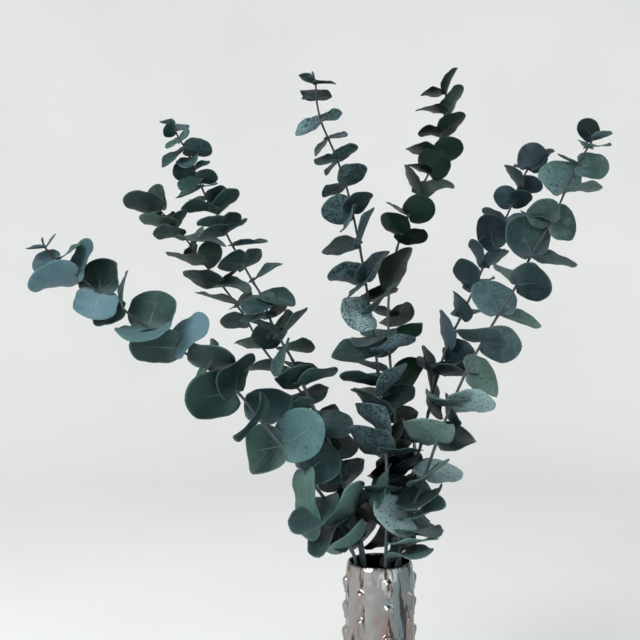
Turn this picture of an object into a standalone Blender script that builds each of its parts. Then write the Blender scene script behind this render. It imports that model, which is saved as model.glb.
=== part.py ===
"""Seven leafy eucalyptus branches standing in a tall silver vase.

Metres, +Z up. The origin is the middle of the vase's flat underside, and the front faces -Y.
Every joint of a branch and the tip of every leaf is placed in a front view, in millimetres on the
plane through the vase's axis, x to the right and y down. A depth, + away from the viewer, and the
eye's place turn such a place into a point of the object.
"""

import math
import random
from collections import namedtuple

import bpy
from mathutils import Matrix, Vector
from mathutils.bvhtree import BVHTree

MM = 0.001

# The front view: where its eye stands, and the view's place that the eye looks at.
EYE = Vector((-0.0595, -1.0, 0.440))
VIEW_MIDDLE_X = 320.0
VIEW_MIDDLE_Y = 320.0

# The vase.
VASE_HEIGHT = 200 * MM
VASE_FLOOR = 6 * MM
VASE_OUTSIDE = [(0, 30.5), (5, 32.5), (14, 34.0), (150, 34.5), (183, 34.5), (195, 33.2), (200, 31.5)]
VASE_INSIDE = [(200, 29.6), (190, 30.4), (14, 30.2), (6, 26.0)]
VASE_SIDES = 24
STUD_COLUMNS = 8
STUD_TURN = math.radians(10)
STUD_HEIGHT = 3.6 * MM
STUD_RISE = 26 * MM
STUD_TOP = 183 * MM
STUD_ROWS = 6
RIB_HEIGHT = 0.7 * MM
RIB_FOOT, RIB_TOP = 5, 190

# The stems.
STEM_SIDES = 4
STEM_LOW_RADIUS = 2.2 * MM
STEM_TIP_RADIUS = 0.9 * MM
STEM_FLOOR_GAP = 0.3 * MM
STEM_DRAWN_IN = 0.8

# The leaves: a blade is as wide as it is long, on a short neck, widest below its middle.
BLADE_THICKNESS = 0.7 * MM
NECK_HALF_WIDTH = 1.0 * MM
NECK_END = 0.11
BLADE_LEAN = 0.8
BLADE_FILL = 0.5
BASE_LOBE = 0.2
CORNER_SPARE = 1.07
NECK_ROW = (0.10, (-1, 1))
LARGE_ROWS = ((0.21, (-1, 0, 1)), (0.41, (-1, 0, 1)), (0.65, (-1, 0, 1)), (0.87, (-1, 0, 1)))
MEDIUM_ROWS = ((0.23, (-1, 0, 1)), (0.48, (-1, 0, 1)), (0.78, (-1, 0, 1)))
SMALL_ROWS = ((0.23, (-1, 1)), (0.48, (-1, 1)), (0.78, (-1, 1)))
TINY_ROWS = ((0.3, (-1, 1)), (0.72, (-1, 1)))
LARGE_LEAF = 54 * MM
SMALL_LEAF = 38 * MM
TINY_LEAF = 23 * MM
YOUNG_LENGTH = 14 * MM
YOUNG_STRETCH = 0.35
ROOT_PAST_CORE = 0.5 * MM
CLEARANCE = 0.25 * MM
LENGTH_SPARE = 1.02
WIDTH_SPARE = 1.05
REACH_FROM_MIDDLE = 0.7

# The habits that are drawn for each leaf, as the least and the most of each.
ASPECTS = (0.92, 1.06)
CUPS = (0.15, 0.6)
BOWS = (-0.05, 0.07)
WAVES = (0.05, 0.16)

# How a leaf may be bent clear of its neighbours, in shares and degrees, and what each change costs.
SHRINKS = (1.0, 0.93, 0.85, 0.75)
STRETCHES = (1.0, 0.9, 1.1, 0.8, 1.2)
ROLLS = (0, 8, -8, 16, -16, 28, -28)
SWINGS = (0, 4, -4, 9, -9, 15, -15)
SHRINK_COST = 45
TURNED_COST = 3
STRETCH_COST = 8
ROLL_OF_COST_ONE = 8
SWING_OF_COST_ONE = 4
MOST_COST_FOR_OWN = 7

NEAR, FAR = -1, 1

Branch = namedtuple("Branch", "name rim_x rim_depth tip_depth leaf_size seed colour joints")
Leaf = namedtuple("Leaf", "root along across upper length width cup bow wave phase")

# A joint is its place on the stem, then its leaves: tip x, tip y, width as seen, and whether the
# tip leans to the viewer or away. A joint without leaves only guides the stem.
LEFT_LOW = [
    (353, 553, (347, 533, 46, NEAR), (321, 538, 20, FAR)),
    (337, 518, (357, 474, 24, NEAR), (318, 543, 14, NEAR)),
    (326, 500, (306, 527, 32, NEAR)),
    (305, 473, (313, 538, 26, NEAR), (337, 452, 42, FAR)),
    (282, 446, (244, 457, 48, FAR), (322, 418, 47, NEAR)),
    (260, 420, (252, 418, 50, NEAR), (276, 393, 42, FAR)),
    (238, 391, (190, 398, 48, NEAR), (249, 354, 25, NEAR)),
    (207, 367, (196, 366, 54, NEAR), (222, 345, 44, FAR)),
    (177, 348, (131, 346, 36, NEAR), (211, 321, 30, NEAR)),
    (147, 327, (144, 340, 54, NEAR), (156, 290, 48, FAR)),
    (124, 310, (92, 321, 22, FAR), (127, 271, 8, FAR)),
    (98, 291, (92, 318, 48, NEAR), (98, 257, 46, FAR)),
    (78, 276, (32, 288, 22, NEAR), (93, 240, 24, NEAR)),
    (55, 261, (28, 257, 25, FAR), (80, 247, 6, NEAR)),
    (43, 245, (24, 247, 3, NEAR), (52, 231, 5, FAR)),
    (42, 237),
]
LEFT_THIN = [
    (359, 545, (342, 534, 32, FAR), (378, 540, 30, FAR)),
    (352, 515, (334, 505, 34, FAR), (370, 506, 34, FAR)),
    (343, 482, (324, 474, 34, FAR), (364, 474, 34, FAR)),
    (333, 452, (350, 438, 34, FAR), (318, 440, 30, FAR)),
    (322, 425, (342, 418, 28, FAR)),
    (305, 395),
    (283, 374, (250, 368, 12, NEAR)),
    (260, 345, (236, 340, 14, NEAR)),
    (247, 320, (220, 317, 16, NEAR)),
    (239, 308, (199, 296, 3, NEAR), (252, 302, 10, FAR)),
    (219, 281, (183, 270, 15, NEAR), (250, 290, 12, NEAR), (242, 267, 4, FAR)),
    (204, 264, (167, 254, 7, NEAR), (216, 243, 24, FAR)),
    (190, 244, (189, 256, 12, NEAR), (200, 223, 9, FAR)),
    (184, 237, (155, 233, 12, NEAR), (227, 248, 9, NEAR)),
    (175, 226, (141, 218, 11, NEAR), (187, 210, 7, FAR)),
    (164, 215, (141, 214, 3, NEAR), (171, 214, 4, FAR)),
    (160, 210, (154, 184, 22, NEAR), (128, 191, 17, NEAR)),
    (158, 205),
]
LEFT_TALL = [
    (357, 527),
    (352, 510, (336, 498, 22, FAR), (366, 497, 20, NEAR)),
    (342, 478, (360, 462, 16, FAR), (326, 470, 24, FAR)),
    (330, 443),
    (322, 424, (353, 428, 26, NEAR), (306, 414, 22, FAR)),
    (311, 402, (302, 390, 42, FAR), (280, 408, 14, FAR)),
    (305, 389, (292, 372, 40, NEAR), (335, 371, 15, NEAR)),
    (292, 358, (315, 376, 16, NEAR)),
    (284, 346, (310, 353, 16, FAR), (281, 372, 14, NEAR)),
    (278, 335, (243, 318, 5, NEAR), (306, 306, 3, NEAR)),
    (275, 331, (262, 353, 28, NEAR), (291, 328, 24, FAR)),
    (268, 314, (246, 320, 12, NEAR), (283, 312, 18, FAR)),
    (260, 292, (257, 311, 32, NEAR), (294, 302, 16, FAR)),
    (254, 284, (284, 267, 6, NEAR)),
    (243, 264, (223, 263, 20, NEAR), (260, 256, 14, FAR)),
    (231, 243, (266, 240, 4, NEAR)),
    (226, 233, (206, 233, 10, NEAR), (248, 222, 7, NEAR)),
    (221, 222, (199, 223, 9, NEAR), (239, 220, 14, FAR)),
    (216, 212, (183, 210, 8, NEAR), (239, 191, 12, NEAR)),
    (207, 199, (190, 197, 11, FAR), (227, 191, 14, FAR)),
    (201, 186, (176, 198, 8, NEAR), (216, 186, 4, NEAR)),
    (197, 177, (184, 192, 22, NEAR), (217, 177, 13, FAR)),
    (194, 171, (174, 177, 20, NEAR), (211, 167, 9, NEAR)),
    (189, 155, (188, 167, 22, NEAR)),
    (187, 150, (165, 170, 12, NEAR), (213, 152, 16, FAR)),
    (179, 139, (165, 148, 9, NEAR), (190, 134, 11, NEAR)),
    (175, 130, (165, 132, 12, NEAR), (184, 121, 14, FAR)),
    (171, 124, (163, 123, 3, NEAR)),
    (169, 119),
]
MIDDLE = [
    (387, 520, (371, 506, 20, FAR), (403, 506, 18, NEAR)),
    (388, 492, (370, 479, 24, NEAR), (405, 480, 22, FAR)),
    (387, 468, (378, 499, 8, NEAR)),
    (386, 455, (352, 427, 28, NEAR), (418, 448, 12, NEAR), (403, 423, 11, FAR)),
    (384, 434, (390, 419, 7, NEAR), (357, 402, 20, NEAR)),
    (381, 413, (353, 387, 16, NEAR), (413, 386, 18, FAR)),
    (380, 394, (406, 361, 16, NEAR), (360, 388, 16, FAR)),
    (379, 384, (340, 375, 14, NEAR)),
    (378, 372, (356, 360, 9, FAR)),
    (376, 353, (332, 357, 18, NEAR), (413, 336, 14, NEAR)),
    (374, 336, (366, 345, 22, NEAR), (384, 330, 22, FAR)),
    (371, 318, (343, 323, 36, NEAR), (397, 289, 5, NEAR)),
    (365, 277, (328, 272, 21, NEAR), (385, 249, 17, NEAR), (357, 287, 5, NEAR)),
    (360, 248, (323, 254, 17, FAR), (374, 211, 5, NEAR)),
    (352, 209, (321, 206, 27, NEAR), (365, 191, 20, NEAR), (345, 226, 4, NEAR)),
    (346, 184, (364, 168, 20, NEAR), (325, 196, 8, FAR)),
    (336, 156, (315, 163, 13, NEAR), (356, 144, 10, NEAR), (328, 168, 3, NEAR)),
    (328, 138, (346, 139, 9, NEAR), (316, 157, 7, NEAR)),
    (320, 120, (296, 138, 16, NEAR), (341, 115, 13, NEAR)),
    (316, 98, (313, 84, 30, FAR), (302, 100, 8, NEAR)),
    (316, 83, (300, 75, 4, NEAR), (337, 84, 3, NEAR)),
    (312, 71),
]
DARK = [
    (393, 547, (371, 541, 34, FAR), (415, 541, 34, FAR)),
    (393, 505, (370, 496, 34, FAR), (416, 492, 34, FAR)),
    (393, 475, (402, 450, 30, FAR), (376, 462, 34, FAR)),
    (394, 448, (380, 432, 26, FAR), (410, 437, 24, FAR)),
    (396, 425, (384, 405, 22, FAR), (412, 408, 20, FAR)),
    (393, 395, (418, 363, 26, FAR), (376, 378, 22, FAR)),
    (389, 350, (421, 321, 12, FAR), (368, 341, 22, FAR)),
    (388, 312, (413, 316, 26, FAR), (372, 301, 14, FAR)),
    (389, 290, (409, 250, 24, NEAR), (364, 303, 14, FAR)),
    (394, 262, (383, 262, 10, NEAR)),
    (397, 248),
    (401, 235, (384, 216, 20, NEAR), (421, 245, 22, NEAR)),
    (408, 216, (431, 204, 28, NEAR), (389, 202, 9, FAR)),
    (417, 195, (453, 184, 18, FAR), (404, 166, 5, NEAR)),
    (430, 172, (446, 153, 33, NEAR), (408, 169, 3, NEAR)),
    (436, 151, (464, 144, 22, FAR), (406, 148, 5, NEAR)),
    (441, 136, (463, 116, 15, NEAR), (418, 136, 7, NEAR)),
    (445, 112, (460, 85, 14, NEAR), (416, 111, 4, NEAR)),
    (446, 91, (457, 67, 8, NEAR), (422, 92, 2, FAR)),
    (444, 79),
]
RIGHT_INNER = [
    (402, 525, (388, 516, 26, FAR), (424, 518, 26, FAR)),
    (408, 492, (394, 480, 30, FAR), (428, 484, 26, FAR)),
    (415, 465, (419, 446, 14, FAR), (400, 456, 26, FAR)),
    (421, 445, (407, 431, 22, FAR), (435, 430, 20, FAR)),
    (429, 410),
    (432, 397, (428, 347, 13, FAR), (438, 421, 11, FAR)),
    (437, 378, (452, 363, 14, FAR), (424, 362, 18, FAR)),
    (447, 344, (440, 308, 8, NEAR), (473, 370, 26, NEAR)),
    (460, 319, (453, 295, 11, NEAR), (478, 311, 12, FAR)),
    (475, 287, (462, 256, 17, NEAR), (490, 271, 14, FAR)),
    (483, 267, (470, 240, 7, NEAR), (507, 252, 12, NEAR)),
    (494, 246, (486, 215, 28, NEAR), (505, 248, 12, FAR), (484, 252, 26, NEAR)),
    (503, 224, (531, 214, 10, FAR), (483, 208, 7, FAR)),
    (512, 205, (499, 188, 22, NEAR), (528, 196, 20, NEAR)),
    (519, 184, (504, 164, 4, NEAR), (541, 180, 18, NEAR)),
    (528, 169, (536, 144, 28, NEAR), (553, 148, 12, FAR), (513, 167, 3, NEAR)),
    (537, 154),
    (540, 145),
]
RIGHT_OUTER = [
    (399, 557, (421, 549, 8, NEAR), (378, 563, 6, NEAR)),
    (401, 545, (424, 531, 22, NEAR), (377, 524, 3, NEAR)),
    (405, 530, (441, 535, 18, FAR), (427, 527, 10, FAR)),
    (409, 517, (373, 508, 27, NEAR), (438, 501, 7, NEAR)),
    (413, 508, (428, 495, 14, FAR), (394, 488, 18, FAR)),
    (424, 479, (427, 463, 28, NEAR), (460, 473, 20, NEAR)),
    (436, 443, (412, 416, 36, NEAR), (474, 438, 26, FAR)),
    (451, 406, (437, 396, 20, NEAR), (493, 402, 26, NEAR), (452, 420, 9, NEAR)),
    (466, 371, (502, 385, 34, FAR), (444, 375, 18, FAR)),
    (483, 341, (465, 328, 26, NEAR), (519, 345, 34, NEAR)),
    (498, 315, (488, 281, 42, FAR), (541, 326, 14, FAR)),
    (518, 284, (546, 282, 36, NEAR), (505, 263, 22, NEAR)),
    (530, 256, (516, 217, 44, FAR), (572, 267, 16, NEAR)),
    (552, 223, (535, 203, 30, NEAR), (580, 222, 38, NEAR), (524, 210, 4, FAR)),
    (565, 191, (562, 158, 48, FAR), (600, 188, 5, NEAR)),
    (580, 160, (609, 164, 28, NEAR), (560, 149, 5, FAR)),
    (589, 146, (580, 142, 2, NEAR), (613, 143, 4, FAR)),
    (593, 139, (586, 118, 19, NEAR), (611, 133, 5, NEAR)),
    (597, 131),
]
BRANCHES = [
    Branch("branch_left_low", -23, -8, -70, 50, 11, (0.09, 0.16, 0.17), LEFT_LOW),
    Branch("branch_middle", 5, -14, -35, 42, 12, (0.10, 0.14, 0.14), MIDDLE),
    Branch("branch_right_outer", 15, -12, -40, 48, 13, (0.07, 0.13, 0.12), RIGHT_OUTER),
    Branch("branch_left_tall", -13, 0, -5, 38, 14, (0.12, 0.16, 0.15), LEFT_TALL),
    Branch("branch_right_inner", 20, 4, 45, 34, 15, (0.05, 0.08, 0.11), RIGHT_INNER),
    Branch("branch_left_thin", -17, 12, 55, 36, 16, (0.12, 0.15, 0.14), LEFT_THIN),
    Branch("branch_dark", 10, 16, 70, 40, 17, (0.02, 0.05, 0.04), DARK),
]


def seen_point(x, y, depth):
    """The point at this depth that the front view shows at (x, y)."""
    reach = 1.0 + depth
    return Vector(
        (
            EYE.x + (x - VIEW_MIDDLE_X) * MM * reach,
            depth,
            EYE.z - (y - VIEW_MIDDLE_Y) * MM * reach,
        )
    )


def branch_depth(branch, y):
    """The depth of a branch at a height of the front view: it leans evenly from the rim to its tip."""
    rim_y = VIEW_MIDDLE_Y + (EYE.z - VASE_HEIGHT) / MM
    tip_y = branch.joints[-1][1]
    share = min(max((rim_y - y) / (rim_y - tip_y), 0.0), 1.0)
    return (branch.rim_depth + (branch.tip_depth - branch.rim_depth) * share) * MM


def spine_of(branch):
    """The points of a stem from its cut end to its tip, and the share of its length at each."""
    drawn_in = STEM_DRAWN_IN * MM
    points = [
        Vector((branch.rim_x * drawn_in, branch.rim_depth * drawn_in, VASE_FLOOR + STEM_FLOOR_GAP)),
        Vector((branch.rim_x * MM, branch.rim_depth * MM, VASE_HEIGHT)),
    ]
    points += [seen_point(x, y, branch_depth(branch, y)) for x, y, *_ in branch.joints]
    reached = [0.0]
    for here, there in zip(points, points[1:]):
        reached.append(reached[-1] + (there - here).length)
    return points, [distance / reached[-1] for distance in reached]


def direction_at(place, points):
    after = points[min(place + 1, len(points) - 1)]
    before = points[max(place - 1, 0)]
    return (after - before).normalized()


def core_at(place, points):
    """The middle of the stem at a joint: its rings lie midway between the joints."""
    return 0.25 * points[place - 1] + 0.5 * points[place] + 0.25 * points[place + 1]


def stem(spine, sides, swell=0.0):
    """Vertices and faces of a closed stem, with its rings midway between its joints."""
    points, shares = spine
    centres = [points[0]] + [0.5 * (a + b) for a, b in zip(points, points[1:])] + [points[-1]]
    ring_shares = [0.0] + [0.5 * (a + b) for a, b in zip(shares, shares[1:])] + [1.0]
    vertices, faces = [], []
    for place, (centre, share) in enumerate(zip(centres, ring_shares)):
        tangent = direction_at(place, centres)
        across = tangent.cross(Vector((0, 1, 0))).normalized()
        outward = across.cross(tangent)
        radius = STEM_LOW_RADIUS + (STEM_TIP_RADIUS - STEM_LOW_RADIUS) * share + swell
        for side in range(sides):
            turn = math.tau * side / sides
            vertices.append(centre + radius * (math.cos(turn) * across + math.sin(turn) * outward))
    for ring in range(len(centres) - 1):
        for side in range(sides):
            here, there = ring * sides + side, ring * sides + (side + 1) % sides
            faces.append((here, there, there + sides, here + sides))
    faces.append(tuple(reversed(range(sides))))
    faces.append(tuple(range(len(vertices) - sides, len(vertices))))
    return vertices, faces


def half_width(u, width):
    """Half of the blade's width at the share u of its length: a short neck, then a round blade."""
    if u >= 1.0:
        return 0.0
    t = max((u - NECK_END) / (1.0 - NECK_END), 0.0)
    return max(NECK_HALF_WIDTH, 0.5 * width * math.sin(math.pi * t**BLADE_LEAN) ** BLADE_FILL)


def blade_point(leaf, u, v, grow=0.0):
    """A point of the blade's middle surface: u runs from root to tip, v from edge to edge."""
    half = half_width(u, leaf.width) + (grow if 0.0 < u < 1.0 else 0.0)
    outward = v * half / (0.5 * leaf.width)
    roll = leaf.cup / (0.5 * leaf.width)
    angle = v * half * roll
    sideways = math.sin(angle) / roll
    lift = (1.0 - math.cos(angle)) / roll
    lift += leaf.bow * leaf.length * 4.0 * u * (1.0 - u)
    lift += leaf.wave * half * v * abs(v) * math.sin(math.tau * u + leaf.phase)
    reach = leaf.length * (u - BASE_LOBE * (outward * (1.0 - u)) ** 2) + (grow if u >= 1.0 else 0.0)
    return leaf.root + reach * leaf.along + sideways * leaf.across + lift * leaf.upper


def stitched(row, next_row):
    """Triangles between two rows of points, from their left ends to their right ends."""
    triangles = []
    here, there = 0, 0
    while here < len(row) - 1 or there < len(next_row) - 1:
        row_done = here == len(row) - 1
        if row_done or (there + 1) * (len(row) - 1) <= (here + 1) * (len(next_row) - 1) and (
            there < len(next_row) - 1
        ):
            triangles.append((row[here], next_row[there], next_row[there + 1]))
            there += 1
        else:
            triangles.append((row[here], next_row[there], row[here + 1]))
            here += 1
    return triangles


def blade(leaf, swell=0.0, with_neck=True):
    """Vertices and triangles of a thin blade, split alike on both faces."""
    wide_rows = MEDIUM_ROWS
    if leaf.length > LARGE_LEAF:
        wide_rows = LARGE_ROWS
    elif leaf.length < TINY_LEAF:
        wide_rows = TINY_ROWS
    elif leaf.length < SMALL_LEAF:
        wide_rows = SMALL_ROWS
    neck_rows = ((0.0, (0,)), NECK_ROW) if with_neck else ()
    middle, rows = [], []
    for u, places in neck_rows + wide_rows + ((1.0, (0,)),):
        rows.append(list(range(len(middle), len(middle) + len(places))))
        middle += [blade_point(leaf, u, v, swell) for v in places]
    triangles = [triangle for pair in zip(rows, rows[1:]) for triangle in stitched(*pair)]
    last_row = rows.pop()
    outline = [row[0] for row in rows] + last_row + [row[-1] for row in reversed(rows)]
    if with_neck:
        outline.pop()
    elif len(rows[0]) == 3:
        outline.append(rows[0][1])
    return thickened(middle, triangles, outline, 0.5 * BLADE_THICKNESS + swell)


def thickened(middle, triangles, outline, half_thickness):
    """The closed solid round a surface: its two faces, and walls along its outline."""
    normals = [Vector((0, 0, 0)) for _ in middle]
    for a, b, c in triangles:
        normal = (middle[b] - middle[a]).cross(middle[c] - middle[a])
        for corner in (a, b, c):
            normals[corner] += normal
    offsets = [half_thickness * normal.normalized() for normal in normals]
    above = len(middle)
    vertices = [point - offset for point, offset in zip(middle, offsets)]
    vertices += [point + offset for point, offset in zip(middle, offsets)]
    faces = [(c, b, a) for a, b, c in triangles]
    faces += [(a + above, b + above, c + above) for a, b, c in triangles]
    for here, there in zip(outline, outline[1:] + outline[:1]):
        faces.append((here, there, there + above))
        faces.append((here, there + above, here + above))
    return vertices, faces


def leaf_length(branch, share):
    """The length of a leaf by its share of the way up the branch: young leaves near the tip are small."""
    grown = min((1.0 - share) / YOUNG_STRETCH, 1.0)
    return YOUNG_LENGTH + (branch.leaf_size * MM - YOUNG_LENGTH) * grown


def leaf_variations():
    """Ways to bend a leaf clear of its neighbours, the smallest change first."""
    found = []
    for shrink in SHRINKS:
        for side in (1, -1):
            for stretch in STRETCHES:
                for roll in ROLLS:
                    for swing in SWINGS:
                        cost = SHRINK_COST * (1.0 - shrink) + (TURNED_COST if side < 0 else 0)
                        cost += STRETCH_COST * abs(1.0 - stretch)
                        cost += (roll / ROLL_OF_COST_ONE) ** 2 + abs(swing) / SWING_OF_COST_ONE
                        found.append((cost, shrink, side, stretch, math.radians(roll), math.radians(swing)))
    return sorted(found, key=lambda variation: variation[0])


def placed_leaf(branch, joint, base, tangent, reading, share, habit, variation):
    """A leaf from its place in the front view and the branch's habit, bent by one variation."""
    x, y, *_ = joint
    tip_x, tip_y, seen_width, side = reading
    aspect, cup, bow, wave, phase = habit
    _, shrink, turned, stretch, roll, swing = variation
    reach = 1.0 + base.y
    flat = Vector(((tip_x - x) * MM, 0.0, (y - tip_y) * MM)) * reach * shrink
    flat = Matrix.Rotation(swing, 3, "Y") @ flat
    length = max(leaf_length(branch, share) * stretch * shrink, LENGTH_SPARE * flat.length)
    depth = side * turned * math.sqrt(length**2 - flat.length**2)
    along = (flat + Vector((0.0, depth, 0.0))).normalized()
    seen = CORNER_SPARE * seen_width * MM * reach * shrink
    width = max(aspect * length, WIDTH_SPARE * seen)
    in_view = Vector((flat.z, 0.0, -flat.x)).normalized()
    in_depth = along.cross(in_view)
    tilt = math.acos(seen / width)
    choices = []
    for turn in (tilt, -tilt):
        across = math.cos(turn) * in_view + math.sin(turn) * in_depth
        upper = along.cross(across)
        if upper.dot(tangent) < 0:
            across, upper = -across, -upper
        choices.append((upper.dot(tangent), across))
    across = Matrix.Rotation(roll, 3, along) @ max(choices, key=lambda choice: choice[0])[1]
    upper = along.cross(across)
    root = base - ROOT_PAST_CORE * along
    return Leaf(root, along, across, upper, length + ROOT_PAST_CORE, width, cup, bow, wave, phase)


def habits_of(branch):
    """One seeded habit per leaf of a branch: aspect, cup, bow, wave and the wave's phase."""
    draw = random.Random(branch.seed)
    return [
        [
            (
                draw.uniform(*ASPECTS),
                draw.uniform(*CUPS),
                draw.uniform(*BOWS),
                draw.uniform(*WAVES),
                draw.uniform(0.0, math.tau),
            )
            for _ in joint[2:]
        ]
        for joint in branch.joints
    ]


def tree_of(shape):
    return BVHTree.FromPolygons(*shape)


def crosses(tree, others):
    return any(tree.overlap(other) for other in others)


def near(centre, reach, placed):
    return [tree for middle, extent, tree in placed if (middle - centre).length < reach + extent]


def grow_leaves(branches, spines, vase_shape):
    """Places every leaf, each bent clear of the vase, the stems and the leaves placed before it."""
    variations = leaf_variations()
    vase_tree = tree_of(vase_shape)
    stem_trees = {
        branch.name: tree_of(stem(spines[branch.name], STEM_SIDES, CLEARANCE)) for branch in branches
    }
    placed_anywhere = {branch.name: [] for branch in branches}
    placed_blades = {branch.name: [] for branch in branches}
    leaves = {}
    for branch in branches:
        points, shares = spines[branch.name]
        leaves[branch.name] = []
        other_stems = [tree for name, tree in stem_trees.items() if name != branch.name]
        for place, (joint, habits) in enumerate(zip(branch.joints, habits_of(branch)), start=2):
            if len(joint) == 2:
                continue
            base, tangent, share = core_at(place, points), direction_at(place, points), shares[place]
            for reading, habit in zip(joint[2:], habits):
                fallback = None
                for variation in variations:
                    if fallback and variation[0] > MOST_COST_FOR_OWN:
                        break
                    leaf = placed_leaf(branch, joint, base, tangent, reading, share, habit, variation)
                    centre = base + 0.5 * leaf.length * leaf.along
                    reach = REACH_FROM_MIDDLE * leaf.length
                    whole = tree_of(blade(leaf, CLEARANCE))
                    strangers = [vase_tree] + other_stems
                    for name, placed in placed_anywhere.items():
                        if name != branch.name:
                            strangers += near(centre, reach, placed)
                    if crosses(whole, strangers):
                        continue
                    own = near(centre, reach, placed_blades[branch.name]) + [stem_trees[branch.name]]
                    outer = tree_of(blade(leaf, CLEARANCE, with_neck=False))
                    if crosses(outer, own):
                        fallback = fallback or (leaf, centre, reach, whole, outer)
                        continue
                    fallback = (leaf, centre, reach, whole, outer)
                    break
                if fallback:
                    leaf, centre, reach, whole, outer = fallback
                    leaves[branch.name].append(leaf)
                    placed_anywhere[branch.name].append((centre, reach, whole))
                    placed_blades[branch.name].append((centre, reach, outer))
    return leaves


def profile_radius(profile, height):
    """The radius of a turned profile, given as (height, radius) in millimetres, at a height."""
    for (low, low_radius), (high, high_radius) in zip(profile, profile[1:]):
        if low <= height <= high:
            return low_radius + (high_radius - low_radius) * (height - low) / (high - low)
    return profile[-1][1]


def vase_shape():
    """Vertices and faces of the vase: ribs between columns of studs, alternate columns staggered."""
    half_rise = STUD_RISE / 2
    quarter_rise = STUD_RISE / 4
    stud_rings = {round((STUD_TOP - half_rise * row) / MM, 2): row % 2 for row in range(2 * STUD_ROWS)}
    between = [round((STUD_TOP - quarter_rise * (2 * row + 1)) / MM, 2) for row in range(-1, 2 * STUD_ROWS)]
    heights = {0.0, float(RIB_FOOT), VASE_HEIGHT / MM} | set(stud_rings)
    heights = sorted(heights | {height for height in between if height > RIB_FOOT})
    sides_per_column = VASE_SIDES // STUD_COLUMNS
    vertices, faces = [], []
    for height in heights:
        radius = profile_radius(VASE_OUTSIDE, height) * MM
        on_body = RIB_FOOT < height < RIB_TOP
        for side in range(VASE_SIDES):
            column, step = divmod(side, sides_per_column)
            raised = RIB_HEIGHT if on_body and step == sides_per_column // 2 else 0.0
            if step == 0 and stud_rings.get(height) == column % 2:
                raised = STUD_HEIGHT
            turn = STUD_TURN + math.tau * side / VASE_SIDES
            reach = radius + raised
            vertices.append(Vector((reach * math.sin(turn), -reach * math.cos(turn), height * MM)))
    for height, radius in VASE_INSIDE:
        for side in range(VASE_SIDES):
            turn = STUD_TURN + math.tau * side / VASE_SIDES
            reach = radius * MM
            vertices.append(Vector((reach * math.sin(turn), -reach * math.cos(turn), height * MM)))
    rings = len(heights) + len(VASE_INSIDE)
    for ring in range(rings - 1):
        for side in range(VASE_SIDES):
            here = ring * VASE_SIDES + side
            beside = ring * VASE_SIDES + (side + 1) % VASE_SIDES
            above, above_beside = here + VASE_SIDES, beside + VASE_SIDES
            if (side + ring) % 2:
                faces += [(here, beside, above), (beside, above_beside, above)]
            else:
                faces += [(here, beside, above_beside), (here, above_beside, above)]
    faces.append(tuple(reversed(range(VASE_SIDES))))
    faces.append(tuple(range((rings - 1) * VASE_SIDES, rings * VASE_SIDES)))
    return vertices, faces


def material(name, colour, roughness, metallic=0.0):
    made = bpy.data.materials.new(name)
    made.use_nodes = True
    shader = made.node_tree.nodes["Principled BSDF"]
    shader.inputs["Base Color"].default_value = (*colour, 1.0)
    shader.inputs["Roughness"].default_value = roughness
    shader.inputs["Metallic"].default_value = metallic
    return made


def add_object(name, shape, made_of, collection):
    vertices, faces = shape
    mesh = bpy.data.meshes.new(name)
    mesh.from_pydata(vertices, [], faces)
    mesh.materials.append(made_of)
    added = bpy.data.objects.new(name, mesh)
    collection.objects.link(added)
    return added


def add_branch(branch, spine, leaves):
    """One solid of a stem and its leaves, joined by a Boolean union on their collection."""
    scene = bpy.context.scene.collection
    foliage = material(branch.name, branch.colour, roughness=0.55)
    solid = add_object(branch.name, stem(spine, STEM_SIDES), foliage, scene)
    bunch = bpy.data.collections.new(branch.name + "_leaves")
    scene.children.link(bunch)
    for number, leaf in enumerate(leaves):
        add_object(f"{branch.name}_leaf_{number}", blade(leaf), foliage, bunch)
    union = solid.modifiers.new("leaves fused to the stem", "BOOLEAN")
    union.operation = "UNION"
    union.operand_type = "COLLECTION"
    union.collection = bunch
    union.solver = "EXACT"
    graph = bpy.context.evaluated_depsgraph_get()
    fused = bpy.data.meshes.new_from_object(solid.evaluated_get(graph))
    solid.modifiers.clear()
    solid.data = fused
    for leaf in list(bunch.objects):
        bpy.data.objects.remove(leaf)
    bpy.data.collections.remove(bunch)


def main():
    for old in list(bpy.data.objects):
        bpy.data.objects.remove(old)
    bpy.context.scene.unit_settings.system = "METRIC"
    shape = vase_shape()
    silver = material("silver glaze", (0.55, 0.54, 0.53), roughness=0.15, metallic=0.9)
    add_object("vase", shape, silver, bpy.context.scene.collection)
    spines = {branch.name: spine_of(branch) for branch in BRANCHES}
    leaves = grow_leaves(BRANCHES, spines, shape)
    for branch in BRANCHES:
        add_branch(branch, spines[branch.name], leaves[branch.name])


main()
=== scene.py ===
"""Seven eucalyptus branches in a tall studded vase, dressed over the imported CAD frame.

Metres, +Z up, with the origin in the middle of the vase's underside and the front facing -Y. The
charts below place every joint and leaf tip in a front view, in millimetres on the plane through
the vase's axis, x to the right and y down, as the part's own source does. The file is laid out
as an add-on and run as a script.
"""

import math
import random
from collections import namedtuple

import bpy
from bpy.props import FloatProperty, FloatVectorProperty, IntProperty, PointerProperty
from mathutils import Matrix, Vector, noise
from mathutils.bvhtree import BVHTree


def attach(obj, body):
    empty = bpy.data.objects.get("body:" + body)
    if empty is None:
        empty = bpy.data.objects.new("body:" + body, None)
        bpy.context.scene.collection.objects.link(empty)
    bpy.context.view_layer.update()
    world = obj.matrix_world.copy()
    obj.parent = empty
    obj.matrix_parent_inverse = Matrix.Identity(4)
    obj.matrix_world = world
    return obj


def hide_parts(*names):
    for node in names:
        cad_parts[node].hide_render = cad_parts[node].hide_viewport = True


bl_info = {
    "name": "Eucalyptus branches in a studded vase",
    "version": (1, 0, 0),
    "blender": (4, 5, 0),
    "location": "View3D > Sidebar > Eucalyptus",
    "description": "Dresses seven leafy eucalyptus branches and their silver vase",
    "category": "Object",
}

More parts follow.
